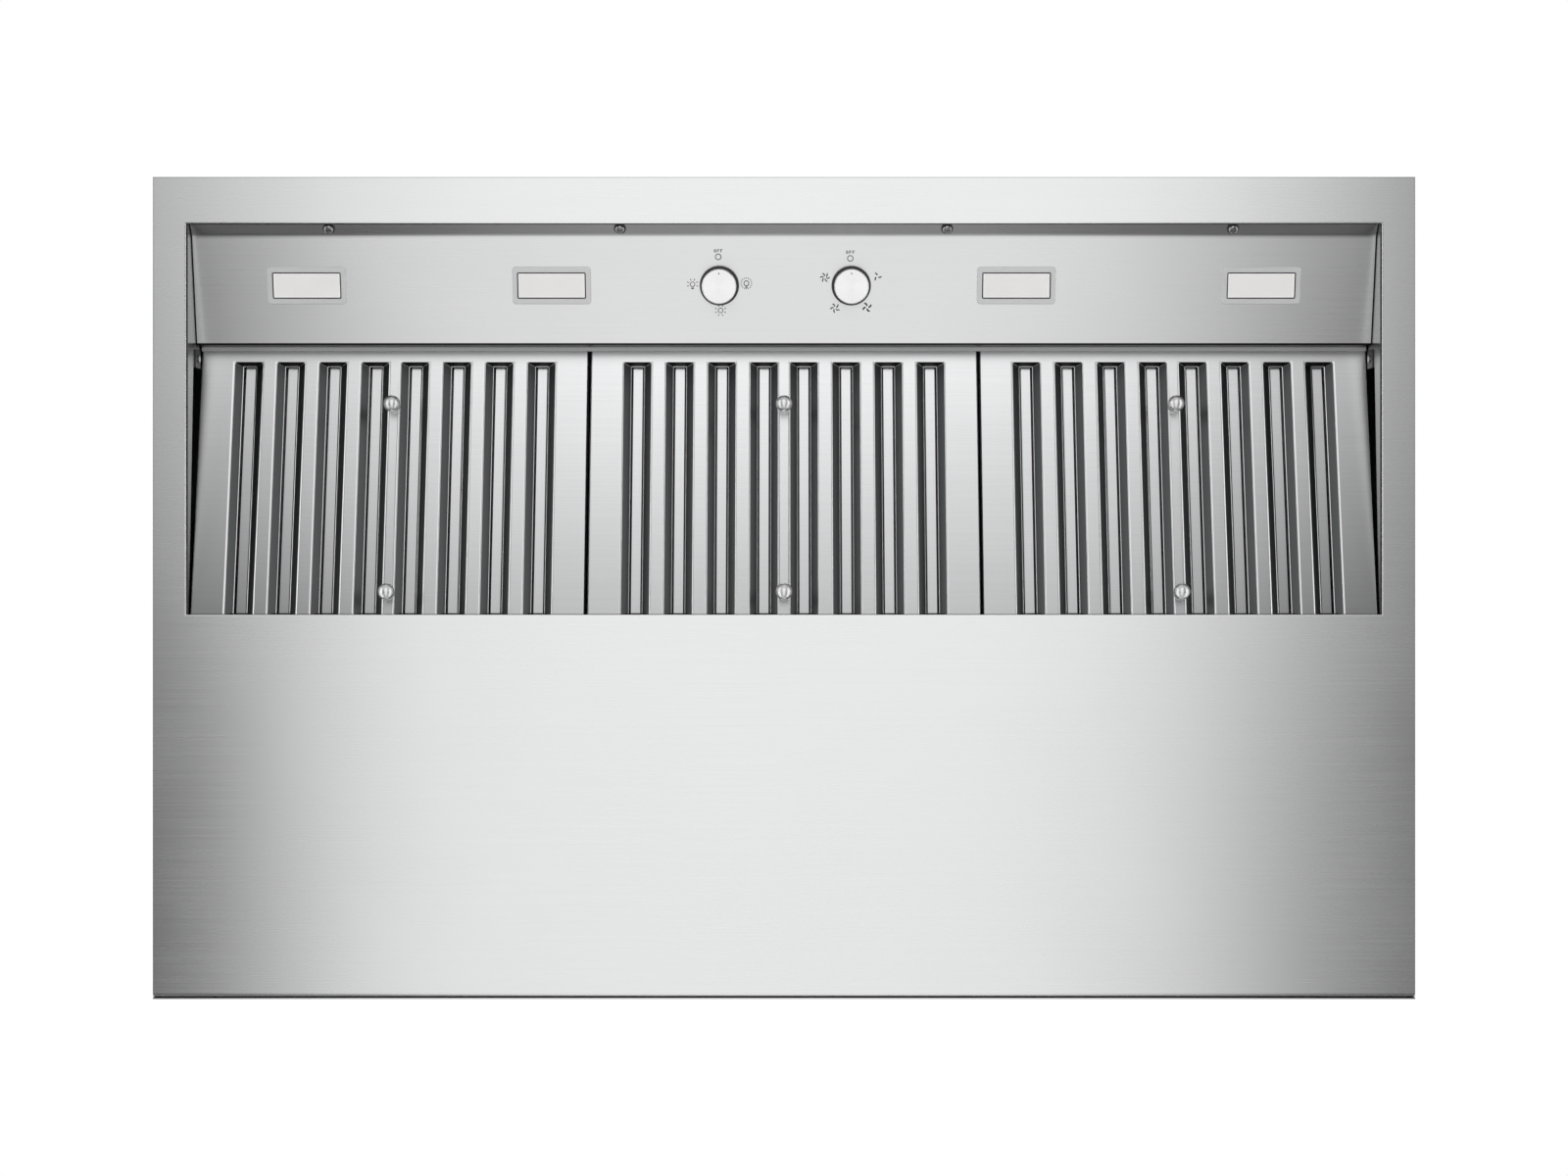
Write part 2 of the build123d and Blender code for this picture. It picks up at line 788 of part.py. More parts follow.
for side, sign in (("left", -1), ("right", 1)):
    inner_wall = Plane(
        origin=(sign * motor_length / 2, 0, 0), x_dir=(0, 1, 0), z_dir=(1, 0, 0)
    )
    with BuildPart() as blower_housing:
        with BuildSketch(inner_wall):
            scroll_outline(0)
        extrude(amount=sign * scroll_width)
        with BuildSketch(inner_wall.offset(sign * scroll_sheet)):
            scroll_outline(scroll_sheet)
        extrude(amount=sign * (scroll_width - 2 * scroll_sheet), mode=Mode.SUBTRACT)
        with BuildSketch(inner_wall):
            with Locations((blower_y, blower_axis_height)):
                Circle(motor_hole_radius)
        extrude(amount=sign * scroll_sheet, mode=Mode.SUBTRACT)
        with BuildSketch(inner_wall.offset(sign * (scroll_width - scroll_sheet))):
            with Locations((blower_y, blower_axis_height)):
                Circle(inlet_radius)
        extrude(amount=sign * scroll_sheet, mode=Mode.SUBTRACT)
    save(blower_housing.part, f"blower_housing_{side}")

    wheel_back = Plane(
        origin=(
            sign * (motor_length / 2 + scroll_sheet + impeller_side_gap),
            blower_y,
            blower_axis_height,
        ),
        x_dir=(0, 1, 0),
        z_dir=(sign, 0, 0),
    )
    with BuildPart() as impeller:
        with BuildSketch(wheel_back):
            Circle(impeller_radius)
        extrude(amount=impeller_plate)
        with BuildSketch(wheel_back):
            Circle(hub_radius)
        extrude(amount=hub_length)
        with BuildSketch(wheel_back):
            with PolarLocations(impeller_radius - blade_depth / 2, impeller_blades):
                Rectangle(blade_depth - blade_thickness, blade_thickness)
        extrude(amount=impeller_width)
        with BuildSketch(wheel_back.offset(impeller_width - impeller_plate)):
            Circle(impeller_radius)
            Circle(impeller_radius - blade_depth, mode=Mode.SUBTRACT)
        extrude(amount=impeller_plate)
        with BuildSketch(wheel_back):
            Circle(blower_shaft_radius)
        extrude(amount=hub_length, mode=Mode.SUBTRACT)
    save(impeller.part, f"impeller_{side}")

blower_axis = Plane(
    origin=(0, blower_y, blower_axis_height), x_dir=(0, 1, 0), z_dir=(1, 0, 0)
)
with BuildPart() as blower_motor:
    with BuildSketch(blower_axis):
        Circle(motor_radius)
    extrude(amount=motor_length / 2, both=True)
    fillet(blower_motor.edges().filter_by(GeomType.CIRCLE), radius=motor_edge_round)
    with BuildSketch(blower_axis):
        Circle(motor_boss_radius)
    extrude(amount=motor_length / 2 + motor_boss_length, both=True)
    with BuildSketch(blower_axis):
        Circle(blower_shaft_radius + bearing_clearance)
    extrude(amount=motor_length, both=True, mode=Mode.SUBTRACT)
save(blower_motor.part, "blower_motor")

with BuildPart() as blower_shaft:
    with BuildSketch(blower_axis):
        Circle(blower_shaft_radius)
    extrude(
        amount=motor_length / 2 + scroll_sheet + impeller_side_gap + hub_length, both=True
    )
save(blower_shaft.part, "blower_shaft")

# Outlet plenum: open-topped box under the flat top, over the two scroll outlets
with BuildPart() as outlet_plenum:
    with BuildSketch(Plane.XY.offset(plenum_bottom)):
        with Locations((0, blower_y)):
            Rectangle(plenum_length, plenum_depth)
    extrude(amount=plenum_height)
    with BuildSketch(Plane.XY.offset(plenum_bottom + scroll_sheet)):
        with Locations((0, blower_y)):
            Rectangle(plenum_length - 2 * scroll_sheet, plenum_depth - 2 * scroll_sheet)
    extrude(amount=plenum_height, mode=Mode.SUBTRACT)
    with BuildSketch(Plane.XY.offset(plenum_bottom)):
        for sign in (-1, 1):
            with Locations(
                (
                    sign * (motor_length + scroll_width) / 2,
                    scroll_middle_y + scroll_radius - scroll_outlet_depth / 2,
                )
            ):
                Rectangle(
                    scroll_width - 2 * scroll_sheet, scroll_outlet_depth - 2 * scroll_sheet
                )
    extrude(amount=scroll_sheet, mode=Mode.SUBTRACT)
save(outlet_plenum.part, "outlet_plenum")

# Duct collar: tube with a square flange that covers the opening of the top
with BuildPart() as duct_collar:
    with BuildSketch(Plane.XY.offset(top_z)):
        with Locations((0, blower_y)):
            flange_side = 2 * (collar_radius + collar_flange)
            RectangleRounded(flange_side, flange_side, collar_flange_corner)
    extrude(amount=collar_wall)
    with BuildSketch(Plane.XY.offset(top_z)):
        with Locations((0, blower_y)):
            Circle(collar_radius)
    extrude(amount=collar_height)
    with BuildSketch(Plane.XY.offset(top_z)):
        with Locations((0, blower_y)):
            Circle(collar_radius - collar_wall)
    extrude(amount=collar_height, mode=Mode.SUBTRACT)
    with BuildSketch(Plane.YZ):
        with Locations((blower_y, damper_z)):
            Circle(damper_pin_radius)
    extrude(amount=collar_radius, both=True, mode=Mode.SUBTRACT)
save(duct_collar.part, "duct_collar")

# Stop ring: the damper flaps rest on it when they are shut
stop_ring_z = damper_z - flap_thickness / 2 - seat_gap - stop_ring_height
with BuildPart() as stop_ring:
    with BuildSketch(Plane.XY.offset(stop_ring_z)):
        with Locations((0, blower_y)):
            Circle(collar_radius - collar_wall)
            Circle(collar_radius - collar_wall - stop_ring_width, mode=Mode.SUBTRACT)
    extrude(amount=stop_ring_height)
    with BuildSketch(Plane.YZ):
        with Locations((blower_y, damper_z)):
            Circle(damper_pin_radius)
    extrude(amount=collar_radius, both=True, mode=Mode.SUBTRACT)
save(stop_ring.part, "stop_ring")

with BuildPart() as damper_pin:
    with BuildSketch(Plane.YZ):
        with Locations((blower_y, damper_z)):
            Circle(damper_pin_radius)
    extrude(amount=collar_radius - damper_pin_inset, both=True)
save(damper_pin.part, "damper_pin")

# Damper flaps: two half discs whose knuckles alternate along the pin
knuckle_radius = damper_pin_radius + shaft_clearance + knuckle_wall
flap_edge = knuckle_radius + knuckle_clearance
for side, sign in (("front", -1), ("rear", 1)):
    with BuildPart() as damper_flap:
        with BuildSketch(Plane.XY.offset(damper_z - flap_thickness / 2)):
            with Locations((0, blower_y)):
                Circle(flap_radius)
            with Locations((0, blower_y - sign * (flap_radius - flap_edge) / 2)):
                Rectangle(2 * flap_radius, flap_radius + flap_edge, mode=Mode.SUBTRACT)
            for place in knuckle_places:
                with Locations((sign * place, blower_y + sign * (flap_edge + knuckle_root) / 2)):
                    Rectangle(knuckle_length, flap_edge + knuckle_root)
        extrude(amount=flap_thickness)
        for place in knuckle_places:
            with BuildSketch(Plane.YZ.offset(sign * place - knuckle_length / 2)):
                with Locations((blower_y, damper_z)):
                    Circle(knuckle_radius)
            extrude(amount=knuckle_length)
        with BuildSketch(Plane.YZ):
            with Locations((blower_y, damper_z)):
                Circle(damper_pin_radius + shaft_clearance)
        extrude(amount=flap_radius, both=True, mode=Mode.SUBTRACT)
    save(damper_flap.part, f"damper_flap_{side}")

# Control box: open towards the top panel, for the lamp driver and the motor capacitor
with BuildPart() as control_box:
    with BuildSketch(Plane.XY.offset(top_inner_z - box_height)):
        with Locations((box_x, -box_from_wall - box_depth / 2)):
            RectangleRounded(box_length, box_depth, bend_radius)
    extrude(amount=box_height)
    with BuildSketch(Plane.XY.offset(top_inner_z - box_height + scroll_sheet)):
        with Locations((box_x, -box_from_wall - box_depth / 2)):
            RectangleRounded(
                box_length - 2 * scroll_sheet,
                box_depth - 2 * scroll_sheet,
                bend_radius - scroll_sheet,
            )
    extrude(amount=box_height, mode=Mode.SUBTRACT)
save(control_box.part, "control_box")

# Cable gland: nut on the top, stem through it and a nut below
with BuildPart() as cable_gland:
    with BuildSketch(Plane.XY.offset(top_inner_z - gland_nut_height)):
        with Locations((gland_x, -gland_from_wall)):
            Circle(gland_radius)
    extrude(amount=gland_nut_height + sheet + gland_stem_height)
    for start in (top_inner_z - gland_nut_height, top_z):
        with BuildSketch(Plane.XY.offset(start)):
            with Locations((gland_x, -gland_from_wall)):
                RegularPolygon(gland_nut_radius, 6)
        extrude(amount=gland_nut_height)
    with BuildSketch(Plane.XY.offset(top_inner_z - gland_nut_height)):
        with Locations((gland_x, -gland_from_wall)):
            Circle(gland_bore_radius)
    extrude(amount=gland_nut_height + sheet + gland_stem_height, mode=Mode.SUBTRACT)
save(cable_gland.part, "cable_gland")
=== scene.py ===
"""Looks of a wall mount range hood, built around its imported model.

Metres, Z up. X runs left to right as the cook sees it, Y from the front (negative) to the wall (Y = 0).
The camera lies on its back under the hood, as in the photograph: the top of the picture is the front.
"""

import json
import math

import bmesh
import bpy
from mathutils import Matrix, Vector


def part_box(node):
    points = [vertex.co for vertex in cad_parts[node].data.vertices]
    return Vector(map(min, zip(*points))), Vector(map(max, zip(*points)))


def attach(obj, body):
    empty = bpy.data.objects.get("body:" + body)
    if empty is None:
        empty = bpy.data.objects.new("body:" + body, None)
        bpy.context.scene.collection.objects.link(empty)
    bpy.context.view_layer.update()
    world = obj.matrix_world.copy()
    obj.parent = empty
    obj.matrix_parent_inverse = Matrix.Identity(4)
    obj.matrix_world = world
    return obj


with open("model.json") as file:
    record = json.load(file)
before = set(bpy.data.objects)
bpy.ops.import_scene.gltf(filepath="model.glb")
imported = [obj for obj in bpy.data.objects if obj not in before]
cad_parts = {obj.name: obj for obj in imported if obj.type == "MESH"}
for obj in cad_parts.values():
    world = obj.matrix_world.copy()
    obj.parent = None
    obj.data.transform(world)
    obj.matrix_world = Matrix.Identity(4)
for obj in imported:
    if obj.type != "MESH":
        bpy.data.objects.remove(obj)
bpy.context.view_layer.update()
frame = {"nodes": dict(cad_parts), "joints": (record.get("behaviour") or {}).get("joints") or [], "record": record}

NODES = frame["nodes"]
JOINTS = {joint["name"]: joint for joint in frame["joints"]}
scene = bpy.context.scene

# Directions and places worked out from the frame

RIGHT = Vector((1.0, 0.0, 0.0))
KNOB_AXIS = Vector(JOINTS["light_knob_turn"]["axis"])
KNOB_CENTRES = {name: Vector(JOINTS[f"{name}_knob_turn"]["pos_m"]) for name in ("light", "fan")}
PANEL_DOWN = -KNOB_AXIS
PANEL_PICTURE_UP = Vector((0.0, -KNOB_AXIS.z, KNOB_AXIS.y))
FILTER_NORMAL = -Vector(JOINTS["filter_middle_lift"]["axis"])
FRONT_PLATES = [f"filter_{side}_front_plate" for side in ("left", "middle", "right")]
PLATE_LOW, PLATE_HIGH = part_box("filter_middle_front_plate")
PANEL_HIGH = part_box("control_panel")[1]
BOTTOM_LOW, BOTTOM_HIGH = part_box("bottom_panel")

# Shader helpers

# A Mix node has its own sockets for each kind of data: the two inputs and the result of each kind
FLOAT_INPUTS, FLOAT_RESULT = (2, 3), 0
COLOUR_INPUTS, COLOUR_RESULT = (6, 7), 2
NOISE_LOW, NOISE_HIGH = 0.3, 0.7


class Shader:
    """A material's node tree, with short ways to add nodes and links."""

    def __init__(self, name):
        self.material = bpy.data.materials.new(name)
        self.material.use_nodes = True
        self.tree = self.material.node_tree
        self.nodes = self.tree.nodes
        self.bsdf = self.nodes["Principled BSDF"]
        self.output = self.nodes["Material Output"]
        self.coordinates = self.node("ShaderNodeTexCoord").outputs

    def node(self, kind, **settings):
        made = self.nodes.new(kind)
        for key, value in settings.items():
            setattr(made, key, value)
        return made

    def link(self, source, target):
        self.tree.links.new(source, target)

    def feed(self, value, socket):
        """Sets the socket to a number, or links it."""
        if isinstance(value, (int, float)):
            socket.default_value = value
        else:
            self.link(value, socket)

    def stretched(self, scale):
        """The point on the piece, in the frame's metres, times one scale or one for each axis."""
        mapping = self.node("ShaderNodeMapping")
        mapping.inputs["Scale"].default_value = scale if isinstance(scale, tuple) else (scale,) * 3
        self.link(self.coordinates["Object"], mapping.inputs["Vector"])
        return mapping.outputs["Vector"]

    def noise(self, scale, detail=2.0, roughness=0.5):
        """Noise from 0 to 1 in cells of one over scale metres."""
        texture = self.node("ShaderNodeTexNoise")
        texture.inputs["Scale"].default_value = 1.0
        texture.inputs["Detail"].default_value = detail
        texture.inputs["Roughness"].default_value = roughness
        self.link(self.stretched(scale), texture.inputs["Vector"])
        return texture.outputs["Fac"]

    def ranged(self, value, low, high, from_low=NOISE_LOW, from_high=NOISE_HIGH, smooth=False):
        """Value mapped from one range, by default the one that noise fills, onto low to high."""
        node = self.node("ShaderNodeMapRange", clamp=True)
        if smooth:
            node.interpolation_type = "SMOOTHSTEP"
        names = ("From Min", "From Max", "To Min", "To Max")
        for name, number in zip(names, (from_low, from_high, low, high)):
            node.inputs[name].default_value = number
        self.link(value, node.inputs["Value"])
        return node.outputs["Result"]

    def maths(self, operation, *values):
        node = self.node("ShaderNodeMath", operation=operation)
        for socket, value in zip(node.inputs, values):
            self.feed(value, socket)
        return node.outputs["Value"]

    def about_axis(self, centre, axis):
        """The direction round an axis through a point, and the distance from it."""
        offset = self.node("ShaderNodeVectorMath", operation="SUBTRACT")
        self.link(self.coordinates["Object"], offset.inputs[0])
        offset.inputs[1].default_value = centre
        across = self.node("ShaderNodeVectorMath", operation="CROSS_PRODUCT")
        self.link(offset.outputs["Vector"], across.inputs[0])
        across.inputs[1].default_value = axis
        reach = self.node("ShaderNodeVectorMath", operation="LENGTH")
        self.link(across.outputs["Vector"], reach.inputs[0])
        return across.outputs["Vector"], reach.outputs["Value"]

    def between(self, factor, *values):
        """Number between two links."""
        node = self.node("ShaderNodeMix", data_type="FLOAT")
        self.link(factor, node.inputs["Factor"])
        for index, value in zip(FLOAT_INPUTS, values):
            self.link(value, node.inputs[index])
        return node.outputs[FLOAT_RESULT]

    def mixed(self, factor, *colours):
        """Colour between two, each of them a colour or a link."""
        node = self.node("ShaderNodeMix", data_type="RGBA")
        self.link(factor, node.inputs["Factor"])
        for index, colour in zip(COLOUR_INPUTS, colours):
            if isinstance(colour, tuple):
                node.inputs[index].default_value = (*colour, 1.0)
            else:
                self.link(colour, node.inputs[index])
        return node.outputs[COLOUR_RESULT]

    def multiplied(self, *colours):
        """Product of two linked colours."""
        node = self.node("ShaderNodeMix", data_type="RGBA", blend_type="MULTIPLY")
        node.inputs["Factor"].default_value = 1.0
        for index, colour in zip(COLOUR_INPUTS, colours):
            self.link(colour, node.inputs[index])
        return node.outputs[COLOUR_RESULT]

    def along(self, letter):
        """The point's place along one axis, in metres."""
        axes = self.node("ShaderNodeSeparateXYZ")
        self.link(self.coordinates["Object"], axes.inputs["Vector"])
        return axes.outputs[letter]

    def facing(self, letter):
        """How far the surface faces along Z, or along X or Y either way."""
        axes = self.node("ShaderNodeSeparateXYZ")
        self.link(self.coordinates["Normal"], axes.inputs["Vector"])
        if letter == "Z":
            return axes.outputs["Z"]
        return self.maths("ABSOLUTE", axes.outputs[letter])

    def bump(self, height, distance, strength):
        """Bump from a height; the strength is a number or a link."""
        node = self.node("ShaderNodeBump")
        self.feed(strength, node.inputs["Strength"])
        node.inputs["Distance"].default_value = distance
        self.link(height, node.inputs["Height"])
        self.link(node.outputs["Normal"], self.bsdf.inputs["Normal"])

    def worn(self, patches, wear, fine, roughness, spread):
        """Roughness that changes over worn patches, and by the spread over a fine texture."""
        texture = self.ranged(fine, roughness, roughness + spread)
        return self.maths("ADD", self.ranged(patches, *wear), texture)

    def coat(self, tone, roughness, metallic=0.0):
        """Gives the surface its tone, its roughness and how metallic it is."""
        self.link(tone, self.bsdf.inputs["Base Color"])
        self.feed(roughness, self.bsdf.inputs["Roughness"])
        self.bsdf.inputs["Metallic"].default_value = metallic


def grey(level, tint=0.0):
    """Neutral colour, a little bluer with tint."""
    return (level * (1 - tint), level, level * (1 + tint))


# Brushed steel: scales of the lines along the brushing and across it, and how much each kind of line counts
GRAIN_SCALES, GRAIN_SHARE = (8.0, 1400.0), 0.75
STREAK_SCALES, STREAK_SHARE = (1.5, 260.0), 0.25
LINE_DETAIL, LINE_ROUGHNESS = 3.0, 0.6
LINES_LOW, LINES_HIGH = 0.36, 0.64
CLOUD_SCALE, CLOUD_DETAIL, CLOUD_WEAR = 5.0, 3.0, (-0.02, 0.02)
SMOOTHER, ROUGHER = 0.02, 0.03
BRIGHTEST = 0.97
BRUSH_BUMP = 0.4
SHEET_ANISOTROPY, SHEET_TINT = 0.65, 0.004
BODY_CONTRAST, BODY_DEPTH = 0.02, 0.00002
UNDERSIDE_CONTRAST, UNDERSIDE_DEPTH = 0.018, 0.000014
PANEL_CONTRAST, PANEL_DEPTH = 0.018, 0.00001

# Painted highlights and painted shade by the way a sheet faces: the axis, from where to where the tone sets in,
# and its level
# Underside: painted highlight on the folds, and near-black painted shade where they turn steeply up
UNDERSIDE_ZONES = (("Z", (-0.96, -0.93), 0.97), ("Z", (-0.74, -0.68), 0.04))
# Control panel: painted shade greying its front facet, and near-black painted shade on its steep edge faces
PANEL_ZONES = (("Y", (0.36, 0.54), 0.43), ("Y", (0.75, 0.85), 0.04))
# Rail: near-black painted shade on its faces that look to the front and to the rear
RAIL_ZONES = (("Y", (0.5, 0.65), 0.05),)
# Gussets: near-black painted shade on their faces that look down
GUSSET_ZONES = (("Z", (-0.6, -0.75), 0.03),)

# Outer edges of the underside: their painted shade, how far in it reaches, and the folds that stay free of brush
# lines
EDGE_SHADE = 0.72
EDGE_START, EDGE_END = 0.0013, 0.0007
FLAT_ENOUGH, FOLDED = -0.995, -0.97

# Folded rear edge of the control panel, darkened as painted shade: how far in it darkens, and its level
REAR_FOLD_START, REAR_FOLD_END, REAR_FOLD_LEVEL = 0.0023, 0.0019, 0.04


def grained(axis, lengthwise, across):
    """One number for each axis: lengthwise along the brushing, across for the others."""
    return tuple(lengthwise if letter == axis else across for letter in "xyz")


def brush(
    shader,
    axis,
    level,
    roughness,
    contrast,
    depth,
    anisotropy=SHEET_ANISOTROPY,
    tint=SHEET_TINT,
    strength=BRUSH_BUMP,
):
    """Fine brush lines, longer streaks and cloudy wear; returns the tone as a link."""
    fine = shader.noise(grained(axis, *GRAIN_SCALES), LINE_DETAIL, LINE_ROUGHNESS)
    streaks = shader.noise(grained(axis, *STREAK_SCALES), LINE_DETAIL, LINE_ROUGHNESS)
    lines = shader.maths(
        "ADD", shader.maths("MULTIPLY", fine, GRAIN_SHARE), shader.maths("MULTIPLY", streaks, STREAK_SHARE)
    )
    tone = shader.mixed(
        shader.ranged(lines, 0.0, 1.0, LINES_LOW, LINES_HIGH),
        grey(level * (1 - contrast), tint),
        grey(min(level * (1 + contrast), BRIGHTEST), tint),
    )
    clouds = shader.noise(CLOUD_SCALE, CLOUD_DETAIL)
    brushed = shader.ranged(fine, roughness - SMOOTHER, roughness + ROUGHER)
    shader.coat(tone, shader.maths("ADD", shader.ranged(clouds, *CLOUD_WEAR), brushed), metallic=1.0)
    shader.bsdf.inputs["Anisotropic"].default_value = anisotropy
    across = shader.node("ShaderNodeCombineXYZ")
    for socket, value in zip(across.inputs, grained(axis, 0.0, 1.0)):
        socket.default_value = value
    shader.link(across.outputs["Vector"], shader.bsdf.inputs["Tangent"])
    shader.bump(fine, depth, strength)
    return tone


def zoned(shader, tone, zones):
    """The tone with each zone's level where the surface faces its way: painted highlights and painted shade."""
    for letter, lean, level in zones:
        zone = shader.ranged(shader.facing(letter), 0.0, 1.0, *lean)
        tone = shader.mixed(zone, tone, grey(level))
    return tone


def brushed_steel(name, level, roughness, axis="x", contrast=BODY_CONTRAST, metallic=1.0, zones=()):
    """Stainless sheet brushed along one axis, with the zones' painted shade where it faces another way."""
    shader = Shader(name)
    tone = brush(shader, axis, level, roughness, contrast, BODY_DEPTH)
    shader.link(zoned(shader, tone, zones), shader.bsdf.inputs["Base Color"])
    shader.bsdf.inputs["Metallic"].default_value = metallic
    return shader.material


def underside_steel(name, level, roughness):
    """Underside sheet: smooth folds with a painted highlight, painted shade on its steep insides, and a thin
    painted shade along its outer edges.
    """
    shader = Shader(name)
    calm = shader.ranged(shader.facing("Z"), BRUSH_BUMP, 0.0, FLAT_ENOUGH, FOLDED)
    tone = brush(shader, "x", level, roughness, UNDERSIDE_CONTRAST, UNDERSIDE_DEPTH, strength=calm)
    # Painted shade along the outer sides and the front edge
    sideways = shader.maths("ABSOLUTE", shader.along("X"))
    side = shader.ranged(sideways, 1.0, EDGE_SHADE, BOTTOM_HIGH.x - EDGE_START, BOTTOM_HIGH.x - EDGE_END)
    front_end, front_start = BOTTOM_LOW.y + EDGE_END, BOTTOM_LOW.y + EDGE_START
    front = shader.ranged(shader.along("Y"), EDGE_SHADE, 1.0, front_end, front_start)
    tone = shader.mixed(shader.maths("MINIMUM", side, front), grey(0.0), tone)
    shader.link(zoned(shader, tone, UNDERSIDE_ZONES), shader.bsdf.inputs["Base Color"])
    return shader.material


def panel_steel(name, level, roughness):
    """Control panel sheet: painted shade greying its front facet and blackening its steep edge faces, and a dark
    painted shade on the fold at its rear edge.
    """
    shader = Shader(name)
    tone = zoned(shader, brush(shader, "x", level, roughness, PANEL_CONTRAST, PANEL_DEPTH), PANEL_ZONES)
    # Painted shade darkens the fold at the rear edge
    fold_start, fold_end = PANEL_HIGH.y - REAR_FOLD_START, PANEL_HIGH.y - REAR_FOLD_END
    fold = shader.ranged(shader.along("Y"), 0.0, 1.0, fold_start, fold_end)
    shader.link(shader.mixed(fold, tone, grey(REAR_FOLD_LEVEL)), shader.bsdf.inputs["Base Color"])
    return shader.material


# Filters: painted shade that greys their steel from front to rear and towards the outer corners
FILTER_ROUGHNESS, FILTER_CONTRAST, FILTER_DEPTH = 0.32, 0.035, 0.00002
FILTER_ANISOTROPY, FILTER_TINT = 0.4, 0.006
FILTER_REAR_SHARE, FILTER_CORNER_SHARE = 0.57, 0.34
FILTER_OUTER = (0.25, 0.58)

# Slots: the levels of the painted highlight on their rims and of the painted shade on their side walls and end
# walls, and from where to where each of them sets in
SLOT_RIM_LEVEL, SLOT_WALL_LEVEL, SLOT_WALL_TINT, SLOT_END_LEVEL = 0.97, 0.1, 0.02, 0.03
SLOT_RIM_LEAN, SLOT_WALL_LEAN, SLOT_END_LEAN = (0.985, 0.998), (0.79, 0.88), (0.45, 0.6)


def slotted_tone(shader, tone):
    """The tone with painted highlights on the rims and painted shade on the walls of the slots, found from the way
    they face.
    """
    facing = shader.node("ShaderNodeVectorMath", operation="DOT_PRODUCT")
    shader.link(shader.coordinates["Normal"], facing.inputs[0])
    facing.inputs[1].default_value = FILTER_NORMAL
    rims = shader.ranged(facing.outputs["Value"], 1.0, 0.0, *SLOT_RIM_LEAN)
    walls = shader.ranged(facing.outputs["Value"], 1.0, 0.0, *SLOT_WALL_LEAN)
    ends = shader.ranged(shader.facing("Y"), 0.0, 1.0, *SLOT_END_LEAN)
    # Painted highlight on the rims, painted shade on the side walls and end walls
    tone = shader.mixed(rims, tone, grey(SLOT_RIM_LEVEL))
    tone = shader.mixed(walls, tone, grey(SLOT_WALL_LEVEL, SLOT_WALL_TINT))
    return shader.mixed(ends, tone, grey(SLOT_END_LEVEL))


def filter_steel(name, level, slotted):
    """Filter sheet: painted shade greying it towards its rear edge and its outer corners, with painted highlights
    and painted shade in the slots where it has them.
    """
    shader = Shader(name)
    tone = brush(
        shader, "x", level, FILTER_ROUGHNESS, FILTER_CONTRAST, FILTER_DEPTH, FILTER_ANISOTROPY, FILTER_TINT
    )
    # Painted shade: greyer towards the rear edge, and more so at the outer corners
    painted_shade_rearward = shader.ranged(shader.along("Y"), 0.0, 1.0, PLATE_LOW.y, PLATE_HIGH.y)
    sideways = shader.maths("ABSOLUTE", shader.along("X"))
    outer = shader.ranged(sideways, 0.0, 1.0, *FILTER_OUTER, smooth=True)
    rear_shade = shader.mixed(outer, grey(FILTER_REAR_SHARE), grey(FILTER_CORNER_SHARE))
    tone = shader.multiplied(tone, shader.mixed(painted_shade_rearward, grey(1.0), rear_shade))
    if slotted:
        tone = slotted_tone(shader, tone)
    shader.link(tone, shader.bsdf.inputs["Base Color"])
    return shader.material


# Plated metal: scales of its scratches and haze, and what they do to its tone and roughness
SCRATCH_SCALES, SCRATCH_DETAIL, SCRATCH_ROUGHNESS = (700.0, 260.0, 700.0), 4.0, 0.7
HAZE_SCALE, HAZE_TONE, HAZE_WEAR = 60.0, 0.9, (-0.04, 0.05)
SCRATCH_SPREAD, SCRATCH_DEPTH, SCRATCH_BUMP = 0.08, 0.00002, 0.4


def polished_metal(name, level, roughness):
    """Smooth plated metal with hairline scratches and finger haze."""
    shader = Shader(name)
    scratches = shader.noise(SCRATCH_SCALES, SCRATCH_DETAIL, SCRATCH_ROUGHNESS)
    haze = shader.noise(HAZE_SCALE)
    shader.coat(
        shader.mixed(shader.ranged(haze, 0.0, 1.0), grey(level * HAZE_TONE), grey(level)),
        shader.worn(haze, HAZE_WEAR, scratches, roughness, SCRATCH_SPREAD),
        metallic=1.0,
    )
    shader.bump(scratches, SCRATCH_DEPTH, SCRATCH_BUMP)
    return shader.material


# Galvanised sheet: scale and darkest share of its crystal flowers, and the film over them
FLOWER_SCALE, FLOWER_TONE, FLOWER_TINT, FLOWER_ROUGHNESS = 90.0, 0.82, 0.01, (0.3, 0.46)
FLOWER_DEPTH, FLOWER_BUMP = 0.00005, 0.3
FILM_SCALE, FILM_DETAIL, FILM_WEAR = 20.0, 3.0, (-0.05, 0.05)
ZINC_METALLIC = 0.9


def zinc_sheet(name, level):
    """Galvanised sheet with its crystal flowers."""
    shader = Shader(name)
    flowers = shader.node("ShaderNodeTexVoronoi")
    flowers.inputs["Scale"].default_value = 1.0
    shader.link(shader.stretched(FLOWER_SCALE), flowers.inputs["Vector"])
    tone = shader.node("ShaderNodeSeparateColor")
    shader.link(flowers.outputs["Color"], tone.inputs["Color"])
    film = shader.noise(FILM_SCALE, FILM_DETAIL)
    crystals = shader.ranged(tone.outputs["Green"], *FLOWER_ROUGHNESS, 0.0, 1.0)
    shader.coat(
        shader.mixed(tone.outputs["Red"], grey(level * FLOWER_TONE, FLOWER_TINT), grey(level, FLOWER_TINT)),
        shader.maths("ADD", shader.ranged(film, *FILM_WEAR), crystals),
        ZINC_METALLIC,
    )
    shader.bump(tone.outputs["Blue"], FLOWER_DEPTH, FLOWER_BUMP)
    return shader.material


